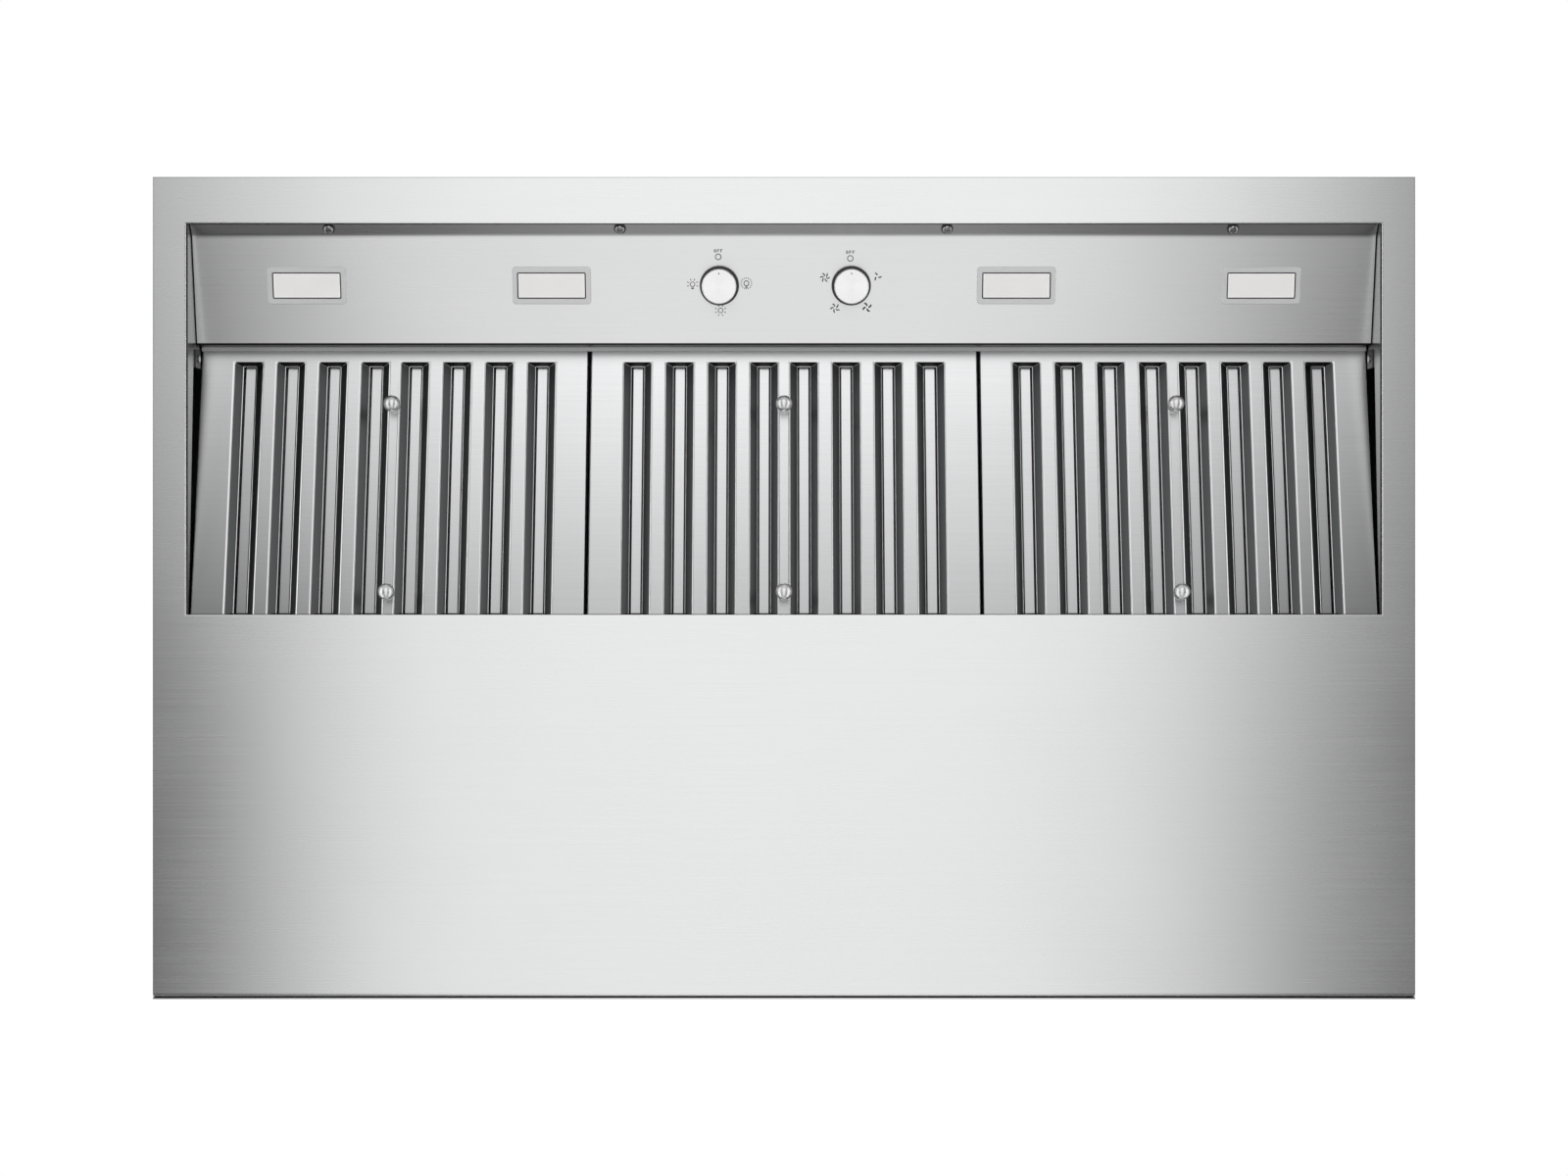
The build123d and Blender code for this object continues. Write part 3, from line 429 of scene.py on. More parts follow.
# Moulded plastic: scales of its pores and rubbed patches, and what they do to its tone and roughness
PORE_SCALE, PORE_SPREAD, PORE_DEPTH, PORE_BUMP = 1500.0, 0.08, 0.00003, 0.5
COARSE_PORE_DEPTH = 0.0001
RUB_SCALE, RUB_DETAIL, RUB_TONE, RUB_WEAR = 40.0, 3.0, 1.25, (-0.05, 0.05)


def moulded_plastic(name, level, roughness, depth=PORE_DEPTH):
    """Moulded plastic with a fine spark-eroded texture and rubbed patches."""
    shader = Shader(name)
    pores = shader.noise(PORE_SCALE)
    rubbed = shader.noise(RUB_SCALE, RUB_DETAIL)
    shader.coat(
        shader.mixed(shader.ranged(rubbed, 0.0, 1.0), grey(level), grey(level * RUB_TONE)),
        shader.worn(rubbed, RUB_WEAR, pores, roughness, PORE_SPREAD),
    )
    shader.bump(pores, depth, PORE_BUMP)
    return shader.material


# Knob caps: scale of the turning rings and what they do, and the paint dot's place, size and level
RING_SCALE, RING_DETAIL, RING_TONE, RING_ANISOTROPY = 3200.0, 2.0, 0.96, 0.5
RING_SMOOTHER, RING_ROUGHER = 0.04, 0.06
RING_DEPTH, RING_BUMP = 0.00003, 0.4
POINTER_REACH, POINTER_RADIUS, POINTER_CORE, POINTER_LEVEL = 0.0126, 0.0008, 0.8, 0.15


def spun_metal(name, level, roughness, centre):
    """Turned face: fine rings round the knob's axis, and a dark paint dot in the pointer's dimple."""
    shader = Shader(name)
    across, reach = shader.about_axis(centre, KNOB_AXIS)
    _, from_pointer = shader.about_axis(centre + PANEL_PICTURE_UP * POINTER_REACH, KNOB_AXIS)
    texture = shader.node("ShaderNodeTexNoise", noise_dimensions="1D")
    texture.inputs["Scale"].default_value = RING_SCALE
    texture.inputs["Detail"].default_value = RING_DETAIL
    shader.link(reach, texture.inputs["W"])
    rings = texture.outputs["Fac"]
    tone = shader.mixed(shader.ranged(rings, 0.0, 1.0), grey(level * RING_TONE), grey(level))
    painted = shader.ranged(from_pointer, 1.0, 0.0, POINTER_RADIUS * POINTER_CORE, POINTER_RADIUS)
    shader.coat(
        shader.mixed(painted, tone, grey(POINTER_LEVEL)),
        shader.ranged(rings, roughness - RING_SMOOTHER, roughness + RING_ROUGHER),
        metallic=1.0,
    )
    shader.bsdf.inputs["Anisotropic"].default_value = RING_ANISOTROPY
    shader.link(across, shader.bsdf.inputs["Tangent"])
    shader.bump(rings, RING_DEPTH, RING_BUMP)
    return shader.material


# Satin paint: scales of its orange peel and handled patches, and what they do to its tone and roughness
PEEL_SCALE, PEEL_SPREAD, PEEL_DEPTH, PEEL_BUMP = 1200.0, 0.06, 0.00002, 0.4
HANDLED_SCALE, HANDLED_DETAIL, HANDLED_TONE, HANDLED_WEAR = 30.0, 3.0, 0.96, (-0.03, 0.03)
PAINT_TINT, PAINT_METALLIC = 0.005, 0.4


def satin_paint(name, level, roughness):
    """Satin grey paint on metal, with a fine orange-peel surface."""
    shader = Shader(name)
    peel = shader.noise(PEEL_SCALE)
    handled = shader.noise(HANDLED_SCALE, HANDLED_DETAIL)
    shader.coat(
        shader.mixed(
            shader.ranged(handled, 0.0, 1.0), grey(level * HANDLED_TONE, PAINT_TINT), grey(level, PAINT_TINT)
        ),
        shader.worn(handled, HANDLED_WEAR, peel, roughness, PEEL_SPREAD),
        PAINT_METALLIC,
    )
    shader.bump(peel, PEEL_DEPTH, PEEL_BUMP)
    return shader.material


# Lamp lenses: scales of their prisms and dust, the milky colours with and without dust, and the lamp's colour
PRISM_SCALE, PRISM_DETAIL, PRISM_ROUGHNESS = 600.0, 1.0, (0.3, 0.42)
PRISM_DEPTH, PRISM_BUMP = 0.00006, 0.5
DUST_SCALE, DUST_DETAIL = 40.0, 3.0
DUSTY, CLEAN = (0.86, 0.855, 0.84), (0.92, 0.915, 0.905)
LAMP_COLOUR = (1.0, 0.985, 0.955, 1.0)


def frosted_lens(name, glow):
    """Milky diffuser with small prisms, faintly lit by its lamp; on the lens rim the stronger glow is a painted
    highlight.
    """
    shader = Shader(name)
    prisms = shader.noise(PRISM_SCALE, PRISM_DETAIL)
    dust = shader.noise(DUST_SCALE, DUST_DETAIL)
    tone = shader.mixed(shader.ranged(dust, 0.0, 1.0), DUSTY, CLEAN)
    shader.coat(tone, shader.ranged(prisms, *PRISM_ROUGHNESS))
    shader.bsdf.inputs["Emission Color"].default_value = LAMP_COLOUR
    shader.bsdf.inputs["Emission Strength"].default_value = glow
    shader.bump(prisms, PRISM_DEPTH, PRISM_BUMP)
    return shader.material


# Print: scale of its wear, where in the noise it breaks up, its darkest and palest levels, and its roughness
PRINT_WEAR_SCALE, PRINT_WEAR = 900.0, (0.4, 0.9)
PRINT_DARK, PRINT_PALE, PRINT_ROUGHNESS = 0.018, 0.07, 0.5


def print_ink(name):
    """Dark screen print, a little broken where the steel shows through."""
    shader = Shader(name)
    wear = shader.ranged(shader.noise(PRINT_WEAR_SCALE), 0.0, 1.0, *PRINT_WEAR)
    shader.coat(shader.mixed(wear, grey(PRINT_DARK), grey(PRINT_PALE)), PRINT_ROUGHNESS)
    return shader.material


# Finishes: each with its level and, where it has one, its roughness

MATERIALS = {
    "body_steel": brushed_steel("body_steel", 0.6, 0.3, contrast=0.06),
    "side_steel": brushed_steel("side_steel", 0.6, 0.3, axis="y", contrast=0.06),
    "underside_steel": underside_steel("underside_steel", 0.85, 0.255),
    "panel_steel": panel_steel("panel_steel", 0.79, 0.29),
    "gusset_steel": brushed_steel("gusset_steel", 0.38, 0.255, axis="y", zones=GUSSET_ZONES),
    "rail_steel": brushed_steel("rail_steel", 0.9, 0.5, contrast=0.04, metallic=0.3, zones=RAIL_ZONES),
    "filter_steel": filter_steel("filter_steel", 0.93, slotted=False),
    "filter_plate": filter_steel("filter_plate", 0.93, slotted=True),
    "filter_knob_steel": polished_metal("filter_knob_steel", 0.94, 0.3),
    "knob_skirt": moulded_plastic("knob_skirt", 0.02, 0.3),
    "lamp_lens": frosted_lens("lamp_lens", glow=0.2),
    # The lens rim glows brighter than the lens: a painted highlight
    "lens_highlight_rim": frosted_lens("lens_highlight_rim", glow=0.3),
    "lamp_bezel": satin_paint("lamp_bezel", 0.85, 0.42),
    # Dark ring round each lens: painted shade in the groove
    "groove_shade_rubber": moulded_plastic("groove_shade_rubber", 0.03, 0.5),
    "led_module": polished_metal("led_module", 0.5, 0.4),
    "switch_plastic": moulded_plastic("switch_plastic", 0.03, 0.45),
    "dark_clip": moulded_plastic("dark_clip", 0.012, 0.35),
    "galvanised_sheet": zinc_sheet("galvanised_sheet", 0.62),
    "impeller_metal": polished_metal("impeller_metal", 0.6, 0.35),
    "motor_casing": moulded_plastic("motor_casing", 0.05, 0.4, COARSE_PORE_DEPTH),
    "screw_steel": polished_metal("screw_steel", 0.42, 0.2),
    "dark_washer": polished_metal("dark_washer", 0.1, 0.3),
    "zinc_screw": polished_metal("zinc_screw", 0.6, 0.3),
    "gland_plastic": moulded_plastic("gland_plastic", 0.025, 0.4),
    "panel_print": print_ink("panel_print"),
    "light_cap": spun_metal("light_cap", 0.97, 0.24, KNOB_CENTRES["light"]),
    "fan_cap": spun_metal("fan_cap", 0.97, 0.24, KNOB_CENTRES["fan"]),
}

# CAD nodes whose finish is finer than their material slot
OWN_FINISHES = {
    "bottom_panel": "underside_steel",
    "control_panel": "panel_steel",
    "side_panel_left": "side_steel",
    "side_panel_right": "side_steel",
    "gusset_left": "gusset_steel",
    "gusset_right": "gusset_steel",
    "panel_washers": "dark_washer",
    "clip_screws": "screw_steel",
    "light_knob_cap": "light_cap",
    "fan_knob_cap": "fan_cap",
    **dict.fromkeys(FRONT_PLATES, "filter_plate"),
}

# Edges: sheet metal gets a rounded edge that catches the light
OUTER_SHEETS = ("canopy_front", "canopy_slope", "canopy_top", "side_panel_left", "side_panel_right")
EDGE_WIDTHS = {
    "duct_collar": 0.0003,
    "bottom_panel": 0.0005,
    **dict.fromkeys(("gusset_left", "gusset_right"), 0.0004),
    **dict.fromkeys(OUTER_SHEETS, 0.0008),
    **dict.fromkeys(FRONT_PLATES, 0.0012),
}
WELD_DISTANCE = 0.000002
JOINED_ANGLE, ROUNDED_ANGLE = math.radians(0.5), math.radians(30)
ROUNDED_SEGMENTS = 3
SHADING_WEIGHT, SHADING_THRESHOLD = 100, 0.0001


def round_edges(piece, width, slotted):
    """Rounded edges and even shading, as modifiers over the untouched mesh.

    A slotted plate has its flat faces joined first and its bevel unclamped, so its rims keep their width.
    That width is more than its sheet, so at its border the roundings of both sides pass each other a little.
    """
    weld = piece.modifiers.new("weld", "WELD")
    weld.merge_threshold = WELD_DISTANCE
    if slotted:
        joined = piece.modifiers.new("joined", "DECIMATE")
        joined.decimate_type = "DISSOLVE"
        joined.angle_limit = JOINED_ANGLE
    bevel = piece.modifiers.new("edges", "BEVEL")
    bevel.width = width
    bevel.segments = ROUNDED_SEGMENTS
    bevel.limit_method = "ANGLE"
    bevel.angle_limit = ROUNDED_ANGLE
    bevel.use_clamp_overlap = not slotted
    flat = piece.modifiers.new("flat", "WEIGHTED_NORMAL")
    flat.mode = "FACE_AREA"
    flat.weight = SHADING_WEIGHT
    flat.thresh = SHADING_THRESHOLD


def dress_cad_nodes():
    """Gives each CAD node its finish: its own, or the one of its material slot."""
    for row in frame["record"]["subparts"]:
        node = row["node"]
        piece = NODES[node]
        piece.data.materials.clear()
        piece.data.materials.append(MATERIALS[OWN_FINISHES.get(node, row["material_slot"])])
        if node in EDGE_WIDTHS:
            round_edges(piece, EDGE_WIDTHS[node], node in FRONT_PLATES)


dress_cad_nodes()

# Camera: straight below the hood, looking up

PICTURE_WIDTH = 1600
METRES_PER_PIXEL = 0.000946375
CAMERA_Y, CAMERA_DEPTH = -0.397, 2.3
SENSOR_WIDTH = 36.0

camera_data = bpy.data.cameras.new("camera")
camera_data.sensor_width = SENSOR_WIDTH
camera_data.lens = SENSOR_WIDTH * CAMERA_DEPTH / (METRES_PER_PIXEL * PICTURE_WIDTH)
camera = bpy.data.objects.new("camera", camera_data)
camera.location = (0.0, CAMERA_Y, -CAMERA_DEPTH)
camera.rotation_euler = (math.pi, 0.0, 0.0)
scene.collection.objects.link(camera)
scene.camera = camera


# Small pieces that only the scene has


def add_piece(name, made, finish):
    """Turns a bmesh into a piece that rides on the hood."""
    mesh = bpy.data.meshes.new(name)
    made.to_mesh(mesh)
    made.free()
    mesh.materials.append(MATERIALS[finish])
    piece = bpy.data.objects.new(name, mesh)
    scene.collection.objects.link(piece)
    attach(piece, "hood_body")


def add_band(made, lower, upper):
    """Faces between two closed loops of as many points."""
    for index in range(len(lower)):
        following = (index + 1) % len(lower)
        made.faces.new((lower[index], lower[following], upper[following], upper[index]))


def panel_place(x, up):
    """Point on the lower face of the control panel, up the picture from the line of the knobs."""
    middle = KNOB_CENTRES["light"]
    return Vector((x, middle.y, middle.z)) + PANEL_PICTURE_UP * up


# Printed signs beside the knobs: outlines are polygons of points to the right and up, about a sign's middle

PRINT_LIFT, PRINT_THICKNESS = 0.00004, 0.00006
RING_STEPS = 28
LETTER_HEIGHT = 0.0031
LETTER_STROKE, LETTER_WIDTH, LETTER_PITCH, LETTER_STEPS = 0.2, 0.72, 1.0, 20
BLADE_STEPS, BLADE_START, BLADE_HUB, BLADE_BEND = 8, math.pi / 2, 0.26, 0.55
BLADE_THINNEST, BLADE_BELLY, BLADE_BELLY_START = 0.35, 0.62, 0.12
SOCKET_HALF, SOCKET_TOP = 0.0012, -0.0032


def box_outline(left, right, low, high):
    return [(left, low), (right, low), (right, high), (left, high)]


def ring_outlines(radius, width, steps=RING_STEPS):
    """Closed band, as quads."""
    quads = []
    for index in range(steps):
        a, b = (math.tau * share / steps for share in (index, index + 1))
        quads.append(
            [
                (radius * math.cos(a), radius * math.sin(a)),
                (radius * math.cos(b), radius * math.sin(b)),
                ((radius - width) * math.cos(b), (radius - width) * math.sin(b)),
                ((radius - width) * math.cos(a), (radius - width) * math.sin(a)),
            ]
        )
    return quads


def ray_outlines(count, inner, outer, width, start=0.0, sweep=math.tau):
    """Short bars that point outwards."""
    bars = []
    for index in range(count):
        angle = start + sweep * index / count
        across = (-math.sin(angle) * width / 2, math.cos(angle) * width / 2)
        along = (math.cos(angle), math.sin(angle))
        bars.append(
            [
                (along[0] * reach + across[0] * side, along[1] * reach + across[1] * side)
                for reach, side in ((inner, -1), (outer, -1), (outer, 1), (inner, 1))
            ]
        )
    return bars


def bulb_outlines(ring, rays, socket_low=None):
    """A bulb's ring and rays, with its socket reaching down to socket_low where it has one."""
    outlines = ring_outlines(*ring) + ray_outlines(*rays)
    if socket_low is not None:
        outlines.append(box_outline(-SOCKET_HALF, SOCKET_HALF, socket_low, SOCKET_TOP))
    return outlines


def blade_outlines(count, radius, width):
    """Fan blades: bent leaves round a small hub."""
    leaves = []
    for blade in range(count):
        base = BLADE_START + math.tau * blade / count
        edge_a, edge_b = [], []
        for step in range(BLADE_STEPS + 1):
            share = step / BLADE_STEPS
            reach = radius * (BLADE_HUB + (1 - BLADE_HUB) * share)
            bend = base + BLADE_BEND * share
            belly = math.sin(math.pi * min(share * BLADE_BELLY + BLADE_BELLY_START, 1.0))
            half = width / 2 * (BLADE_THINNEST + (1 - BLADE_THINNEST) * belly)
            side = (-math.sin(bend) * half, math.cos(bend) * half)
            edge_a.append((reach * math.cos(bend) + side[0], reach * math.sin(bend) + side[1]))
            edge_b.append((reach * math.cos(bend) - side[0], reach * math.sin(bend) - side[1]))
        leaves.append(edge_a + edge_b[::-1])
    return leaves


def letter_outlines(text, height):
    """Capital letters O and F as bars and rounded loops, centred."""
    stroke, width, pitch = (height * share for share in (LETTER_STROKE, LETTER_WIDTH, LETTER_PITCH))
    low, high = -height / 2, height / 2
    start = -(len(text) - 1) * pitch / 2
    outlines = []
    for index, letter in enumerate(text):
        middle = start + index * pitch
        left, right = middle - width / 2, middle + width / 2
        if letter == "O":
            for quad in ring_outlines(width / 2, stroke, LETTER_STEPS):
                outlines.append([(middle + a, b * height / width) for a, b in quad])
        else:
            outlines.append(box_outline(left, left + stroke, low, high))
            outlines.append(box_outline(left, right, high - stroke, high))
            outlines.append(box_outline(left, right - stroke, -stroke / 2, stroke / 2))
    return outlines


OFF_LETTERS = letter_outlines("OFF", LETTER_HEIGHT)
OFF_RING = ring_outlines(radius=0.0031, width=0.0008)

# Bulbs: radius and width of the ring, inner end, outer end and width of a ray, and how low the socket reaches
BULB_RING, BULB_RAY, BULB_SOCKET = (0.0026, 0.0007), (0.004, 0.0056, 0.0008), -0.0046
BRIGHT_RING, BRIGHT_RAY, BRIGHT_SOCKET = (0.0028, 0.0008), (0.0047, 0.0057, 0.0009), -0.0043

# Rays of each bulb: how many, their shape, and for some the first one's angle and how far round they go
OPEN_RAYS = (6, *BULB_RAY, math.radians(-20), math.radians(264))
CLOSED_RAYS = (8, *BULB_RAY, math.radians(22.5))
BRIGHT_RAYS = (16, *BRIGHT_RAY)

# Each sign's place from its knob, to the right and up the picture, and its outlines
LIGHT_SIGNS = (
    (-0.001, 0.0335, OFF_LETTERS),
    (-0.001, 0.0277, OFF_RING),
    (-0.0262, 0.0012, bulb_outlines(BULB_RING, OPEN_RAYS, BULB_SOCKET)),
    (0.001, -0.0242, bulb_outlines(BULB_RING, CLOSED_RAYS)),
    (0.0263, 0.0021, bulb_outlines(BRIGHT_RING, BRIGHT_RAYS, BRIGHT_SOCKET)),
)

# A fan sign's outlines: how many blades, and their length and width
FAN_SIGNS = (
    (-0.001, 0.0322, OFF_LETTERS),
    (-0.001, 0.0262, OFF_RING),
    (0.0254, 0.0086, blade_outlines(3, 0.0042, 0.0015)),
    (0.0156, -0.0211, blade_outlines(4, 0.0049, 0.0019)),
    (-0.0157, -0.0218, blade_outlines(5, 0.0048, 0.0014)),
    (-0.0256, 0.0078, blade_outlines(6, 0.0048, 0.0013)),
)


def build_signs(knob, signs):
    """One piece of thin printed polygons beside a knob."""
    made = bmesh.new()
    for x, up, outlines in signs:
        middle = panel_place(KNOB_CENTRES[knob].x + x, up) + PANEL_DOWN * PRINT_LIFT
        for outline in outlines:
            points = [middle + RIGHT * a + PANEL_PICTURE_UP * b for a, b in outline]
            low = [made.verts.new(point) for point in points]
            high = [made.verts.new(point + PANEL_DOWN * PRINT_THICKNESS) for point in points]
            made.faces.new(low)
            made.faces.new(high[::-1])
            add_band(made, low, high)
    bmesh.ops.recalc_face_normals(made, faces=made.faces)
    add_piece(f"{knob}_signs", made, "panel_print")


build_signs("light", LIGHT_SIGNS)
build_signs("fan", FAN_SIGNS)

# Lamps: inside each bezel, a dark ring as painted shade in the groove round the lens, and a lens rim that glows
# brighter than the lens as a painted highlight

LENS_LENGTH, LENS_WIDTH, LENS_CORNER = 0.067, 0.0256, 0.0015
LENS_STAND_OFF = 0.0015
CORNER_STEPS, SMALLEST_CORNER = 6, 0.0002
GROOVE_SHADE_WIDTH, GROOVE_SHADE_HEIGHT = 0.0012, 0.0004
LENS_RIM_WIDTH, LENS_RIM_HEIGHT = 0.0009, 0.0003
SECTION_STEPS, SECTION_SINK = 8, 0.0001
CORNER_SIDES = ((1, 1), (-1, 1), (-1, -1), (1, -1))


def rounded_rectangle(length, width, corner):
    """Points round a rectangle with rounded corners, about its middle."""
    points = []
    for quarter, (side_x, side_up) in enumerate(CORNER_SIDES):
        for step in range(CORNER_STEPS + 1):
            angle = math.pi / 2 * (quarter + step / CORNER_STEPS)
            points.append(
                (
                    side_x * (length / 2 - corner) + corner * math.cos(angle),
                    side_up * (width / 2 - corner) + corner * math.sin(angle),
                )
            )
    return points


def ring_section(height):
    """Half-round section: the share of the ring's width, and how far it stands out, sunk at both feet."""
    section = [(0.0, -SECTION_SINK)]
    for step in range(SECTION_STEPS + 1):
        angle = math.pi * step / SECTION_STEPS
        section.append((0.5 - 0.5 * math.cos(angle), height * math.sin(angle)))
    return section + [(1.0, -SECTION_SINK)]


def lens_ring(name, middle_x, inset, width, height, finish):
    """Half-round ring on the lens: inset from the bezel, standing out by its height."""
    made = bmesh.new()
    loops = []
    for share, rise in ring_section(height):
        inward = inset + share * width
        outline = rounded_rectangle(
            LENS_LENGTH - 2 * inward, LENS_WIDTH - 2 * inward, max(LENS_CORNER - inward, SMALLEST_CORNER)
        )
        outward = PANEL_DOWN * (LENS_STAND_OFF + rise)
        loops.append([made.verts.new(panel_place(middle_x + x, up) + outward) for x, up in outline])
    for loop, after in zip(loops, loops[1:] + loops[:1]):
        add_band(made, loop, after)
    bmesh.ops.recalc_face_normals(made, faces=made.faces)
    for face in made.faces:
        face.smooth = True
    add_piece(name, made, finish)


for lamp in ("lamp_1", "lamp_2", "lamp_3", "lamp_4"):
    lens_low, lens_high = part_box(f"{lamp}_lens")
    lens_x = (lens_low.x + lens_high.x) / 2
    # A dark ring as painted shade in the groove round the lens
    lens_ring(f"{lamp}_groove_shade", lens_x, 0.0, GROOVE_SHADE_WIDTH, GROOVE_SHADE_HEIGHT, "groove_shade_rubber")
    # A rim glowing brighter than the lens, as a painted highlight
    lens_ring(
        f"{lamp}_lens_highlight_rim", lens_x, GROOVE_SHADE_WIDTH, LENS_RIM_WIDTH, LENS_RIM_HEIGHT, "lens_highlight_rim"
    )

# Duct collar: flanged hex screws through its flange into the top

COLLAR_SCREW_INSET = 0.009
COLLAR_SHEET = 0.001
WASHER_RADIUS, WASHER_HEIGHT, WASHER_SIDES = 0.0048, 0.0009, 24
WASHER_RIM_SHARE, WASHER_TOP_SHARE = 0.4, 0.85
HEX_RADIUS, HEX_HEIGHT, HEX_CHAMFER, HEX_SIDES = 0.004, 0.0034, 0.0005, 6
SCREW_TURN = 0.7

# Rings of a screw's two solids: sides, radius, height
WASHER_RINGS = (
    (WASHER_SIDES, WASHER_RADIUS, 0.0),
    (WASHER_SIDES, WASHER_RADIUS, WASHER_HEIGHT * WASHER_RIM_SHARE),
    (WASHER_SIDES, WASHER_RADIUS * WASHER_TOP_SHARE, WASHER_HEIGHT),
)
HEX_RINGS = (
    (HEX_SIDES, HEX_RADIUS, WASHER_HEIGHT / 2),
    (HEX_SIDES, HEX_RADIUS, HEX_HEIGHT - HEX_CHAMFER),
    (HEX_SIDES, HEX_RADIUS - HEX_CHAMFER, HEX_HEIGHT),
)


def stacked_rings(made, centre, rings, turn):
    """Closed solid through rings round an upright axis."""
    loops = []
    for sides, radius, height in rings:
        angles = [turn + math.tau * side / sides for side in range(sides)]
        points = [Vector((radius * math.cos(angle), radius * math.sin(angle), height)) for angle in angles]
        loops.append([made.verts.new(centre + point) for point in points])
    for lower, upper in zip(loops, loops[1:]):
        add_band(made, lower, upper)
    made.faces.new(loops[0][::-1])
    made.faces.new(loops[-1])


def build_collar_screws():
    """Eight screws at the flange's corners and the middles of its sides, each turned its own way."""
    low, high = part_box("duct_collar")
    middle = (low + high) / 2
    reach = (high.x - low.x) / 2 - COLLAR_SCREW_INSET
    places = [(along, across) for along in (-1, 0, 1) for across in (-1, 0, 1) if along or across]
    made = bmesh.new()
    for number, (along, across) in enumerate(places):
        centre = Vector((middle.x + along * reach, middle.y + across * reach, low.z + COLLAR_SHEET))
        for rings in (WASHER_RINGS, HEX_RINGS):
            stacked_rings(made, centre, rings, SCREW_TURN * number)
    add_piece("collar_screws", made, "zinc_screw")


build_collar_screws()

# Stage: pale floor, white surroundings, graded card under the hood, soft lamps

FLOOR_Z, FLOOR_REACH = -2.6, 40.0
FLOOR_DARK, FLOOR_PALE, FLOOR_ROUGHNESS = 0.78, 0.82, 0.8
MOTTLE_SCALE, MOTTLE_DETAIL = 2.0, 4.0
CARD_Z, CARD_HALF, CARD_FRONT, CARD_REAR = -2.5, 4.6, -4.0, 10.0
FLAG_TOP, FLAG_LIGHT = 0.0, 1.0
WORLD_AS_LAMP, WORLD_AS_SEEN = 0.55, 1.0
HOOD_MIDDLE = Vector((0.0, -0.4, 0.2))
LAMP_SIZE = (5.0, 4.0)
STUDIO_LAMPS = (("key_lamp", (-2.4, -3.2, 2.6), 25.0), ("fill_lamp", (3.2, 1.8, 2.2), 20.0))

# How the card's light falls towards its ends, at the front and at the rear. For the left and the right half:
# the half-way point in metres from the middle, and how steeply it falls there
FRONT_FALLS = ((1.32, 6.0), (1.22, 8.0))
REAR_FALLS = ((1.06, 14.0), (1.0, 7.0))
LEFT_TO_RIGHT, FRONT_TO_REAR = (-0.05, 0.05), (-0.8, -0.2)

# From where to where along Y the light is lifted, dimmed and cut off, and the bright strips at both ends
LIFT_START, LIFT_LIGHT = (-2.1, -1.3), 1.12
DIM_START, DIM_LIGHT = (-0.8, 0.5), 0.93
FAR_START, FAR_LIGHT = (4.6, 6.2), 0.2
STRIP_INNER, STRIP_LIGHT = (3.1, 3.3), 1.8


def flat_mesh(name, corners):
    """One flat face through four corners, in the stage."""
    mesh = bpy.data.meshes.new(name)
    mesh.from_pydata(corners, [], [(0, 1, 2, 3)])
    piece = bpy.data.objects.new(name, mesh)
    scene.collection.objects.link(piece)
    return piece


def level_corners(half, front, rear, height):
    """Corners of a level rectangle that faces up."""
    return [(-half, front, height), (half, front, height), (half, rear, height), (-half, rear, height)]


def front_only(shader, surface):
    """The surface on the front, nothing on the back."""
    clear = shader.node("ShaderNodeBsdfTransparent")
    sides = shader.node("ShaderNodeMixShader")
    shader.link(shader.node("ShaderNodeNewGeometry").outputs["Backfacing"], sides.inputs["Fac"])
    shader.link(surface, sides.inputs[1])
    shader.link(clear.outputs["BSDF"], sides.inputs[2])
    shader.link(sides.outputs["Shader"], shader.output.inputs["Surface"])


def glowing(shader, strength):
    """Light of this strength, a number or a link, on the front and nothing on the back."""
    glow = shader.node("ShaderNodeEmission")
    shader.feed(strength, glow.inputs["Strength"])
    front_only(shader, glow.outputs["Emission"])


def build_floor():
    """Pale mottled floor, seen from above only."""
    floor = flat_mesh("floor", level_corners(FLOOR_REACH, -FLOOR_REACH, FLOOR_REACH, FLOOR_Z))
    shader = Shader("floor")
    mottle = shader.ranged(shader.noise(MOTTLE_SCALE, MOTTLE_DETAIL), 0.0, 1.0)
    shader.coat(shader.mixed(mottle, grey(FLOOR_DARK), grey(FLOOR_PALE)), FLOOR_ROUGHNESS)
    front_only(shader, shader.bsdf.outputs["BSDF"])
    floor.data.materials.append(shader.material)


def fall(shader, reach, right, left_fall, right_fall):
    """1 over 1 plus a power of the reach over its half-way point, with each side's own numbers."""
    half, steepness = (shader.ranged(right, *pair, 0.0, 1.0) for pair in zip(left_fall, right_fall))
    power = shader.maths("POWER", shader.maths("DIVIDE", reach, half), steepness)
    return shader.maths("DIVIDE", 1.0, shader.maths("ADD", power, 1.0))


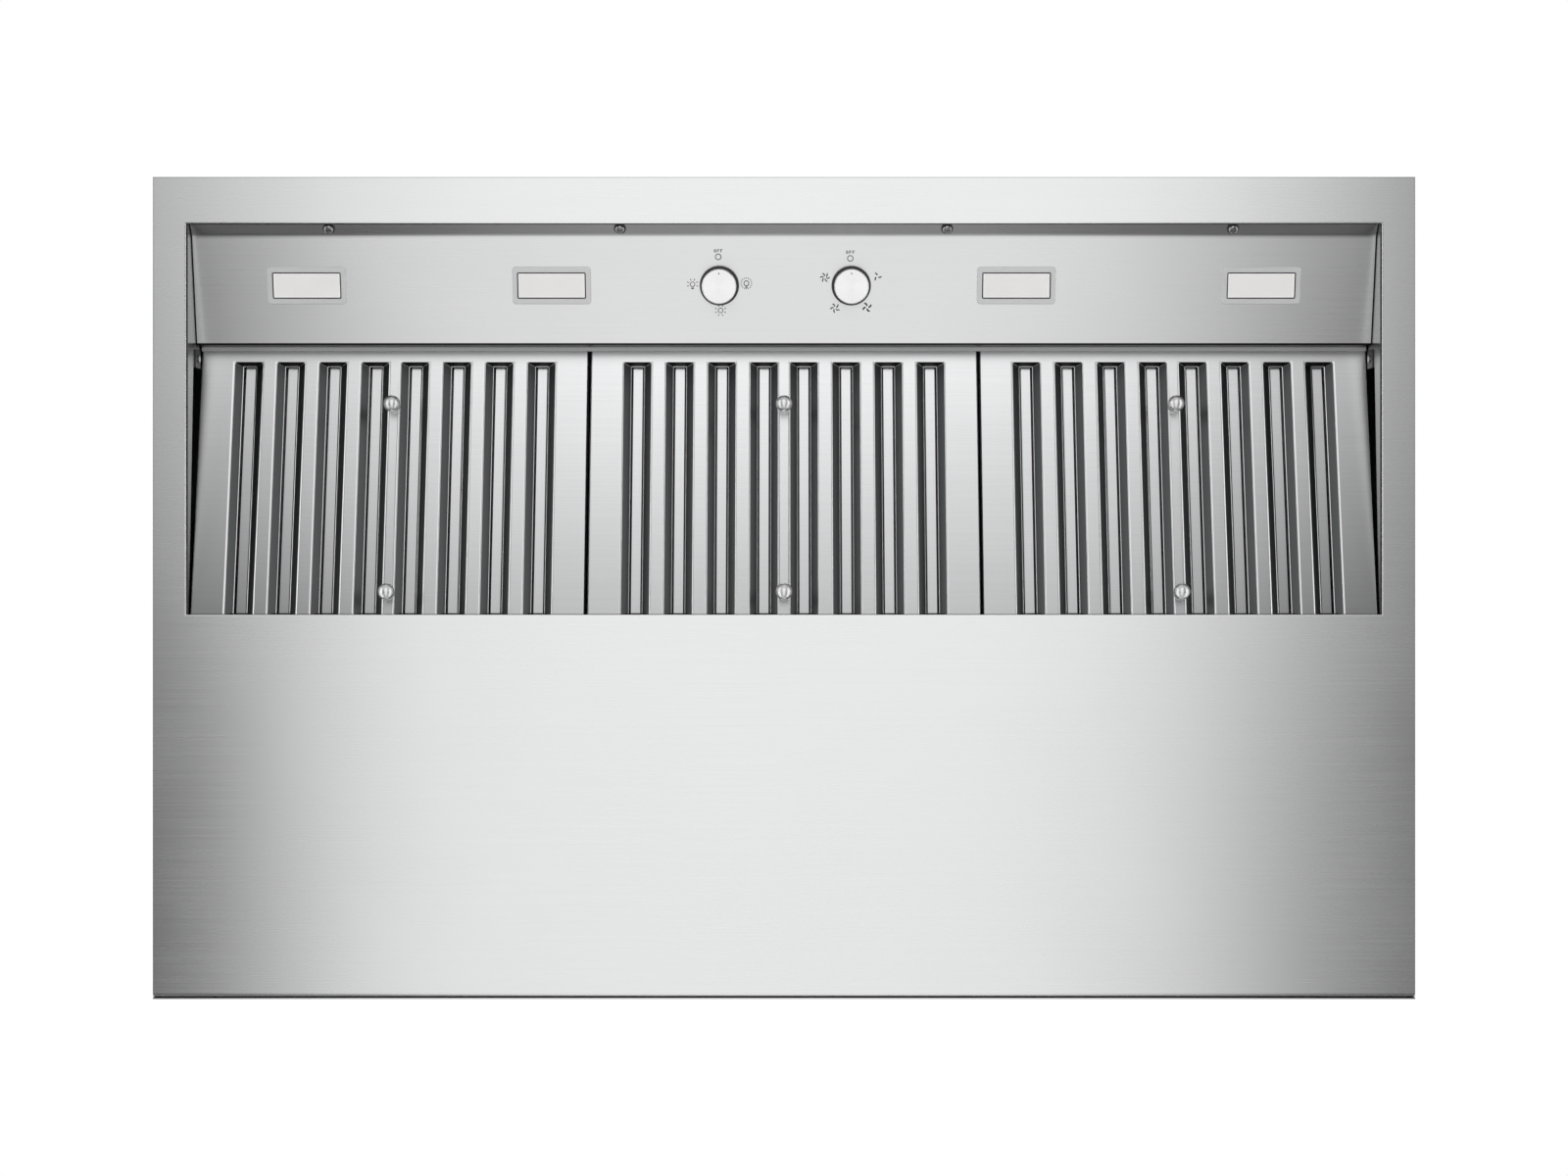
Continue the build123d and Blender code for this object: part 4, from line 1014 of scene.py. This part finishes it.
def build_card():
    """Graded card that the underside mirrors: bright in the middle, darker at the ends and far behind."""
    card = flat_mesh("card", level_corners(CARD_HALF, CARD_FRONT, CARD_REAR, CARD_Z))
    shader = Shader("card")
    sideways, backwards = shader.along("X"), shader.along("Y")
    reach = shader.maths("ABSOLUTE", sideways)
    right = shader.ranged(sideways, 0.0, 1.0, *LEFT_TO_RIGHT)
    to_rear = shader.ranged(backwards, 0.0, 1.0, *FRONT_TO_REAR, smooth=True)
    falls = (fall(shader, reach, right, *halves) for halves in (FRONT_FALLS, REAR_FALLS))
    lift = shader.ranged(backwards, LIFT_LIGHT, 1.0, *LIFT_START)
    dim = shader.ranged(backwards, 1.0, DIM_LIGHT, *DIM_START)
    level = shader.maths("MULTIPLY", shader.between(to_rear, *falls), shader.maths("MULTIPLY", lift, dim))
    strip = shader.ranged(reach, 0.0, STRIP_LIGHT, *STRIP_INNER)
    far = shader.ranged(backwards, 1.0, FAR_LIGHT, *FAR_START, smooth=True)
    glowing(shader, shader.maths("MULTIPLY", shader.maths("ADD", level, strip), far))
    card.data.materials.append(shader.material)
    card.visible_camera = False


def build_side_flags():
    """White flags at the card's ends, facing inwards, up to the height of the hood's underside."""
    for name, side in (("left", -1), ("right", 1)):
        corners = [
            (side * CARD_HALF, CARD_FRONT, CARD_Z),
            (side * CARD_HALF, CARD_REAR, CARD_Z),
            (side * CARD_HALF, CARD_REAR, FLAG_TOP),
            (side * CARD_HALF, CARD_FRONT, FLAG_TOP),
        ]
        flag = flat_mesh(f"{name}_flag", corners[::-side])
        shader = Shader(f"{name}_flag")
        glowing(shader, FLAG_LIGHT)
        flag.data.materials.append(shader.material)
        flag.visible_camera = False
        flag.visible_diffuse = False


def build_world():
    """White to the camera, to mirrors and to glass; softer as a lamp."""
    world = bpy.data.worlds.new("world")
    scene.world = world
    world.use_nodes = True
    nodes, links = world.node_tree.nodes, world.node_tree.links
    background = nodes["Background"]
    path = nodes.new("ShaderNodeLightPath")
    seen = path.outputs["Is Camera Ray"]
    for name in ("Is Glossy Ray", "Is Transmission Ray"):
        either = nodes.new("ShaderNodeMath")
        either.operation = "MAXIMUM"
        links.new(seen, either.inputs[0])
        links.new(path.outputs[name], either.inputs[1])
        seen = either.outputs["Value"]
    strength = nodes.new("ShaderNodeMapRange")
    links.new(seen, strength.inputs["Value"])
    strength.inputs["To Min"].default_value = WORLD_AS_LAMP
    strength.inputs["To Max"].default_value = WORLD_AS_SEEN
    links.new(strength.outputs["Result"], background.inputs["Strength"])
    background.inputs["Color"].default_value = (1.0, 1.0, 1.0, 1.0)


def build_lamp(name, place, power):
    """Large soft lamp that looks at the hood."""
    data = bpy.data.lights.new(name, "AREA")
    data.shape = "RECTANGLE"
    data.size, data.size_y = LAMP_SIZE
    data.energy = power
    lamp = bpy.data.objects.new(name, data)
    scene.collection.objects.link(lamp)
    lamp.location = place
    lamp.rotation_euler = (HOOD_MIDDLE - Vector(place)).to_track_quat("-Z", "Y").to_euler()
    lamp.visible_camera = False


build_floor()
build_card()
build_side_flags()
build_world()
for studio_lamp in STUDIO_LAMPS:
    build_lamp(*studio_lamp)

scene.view_settings.view_transform = "Standard"
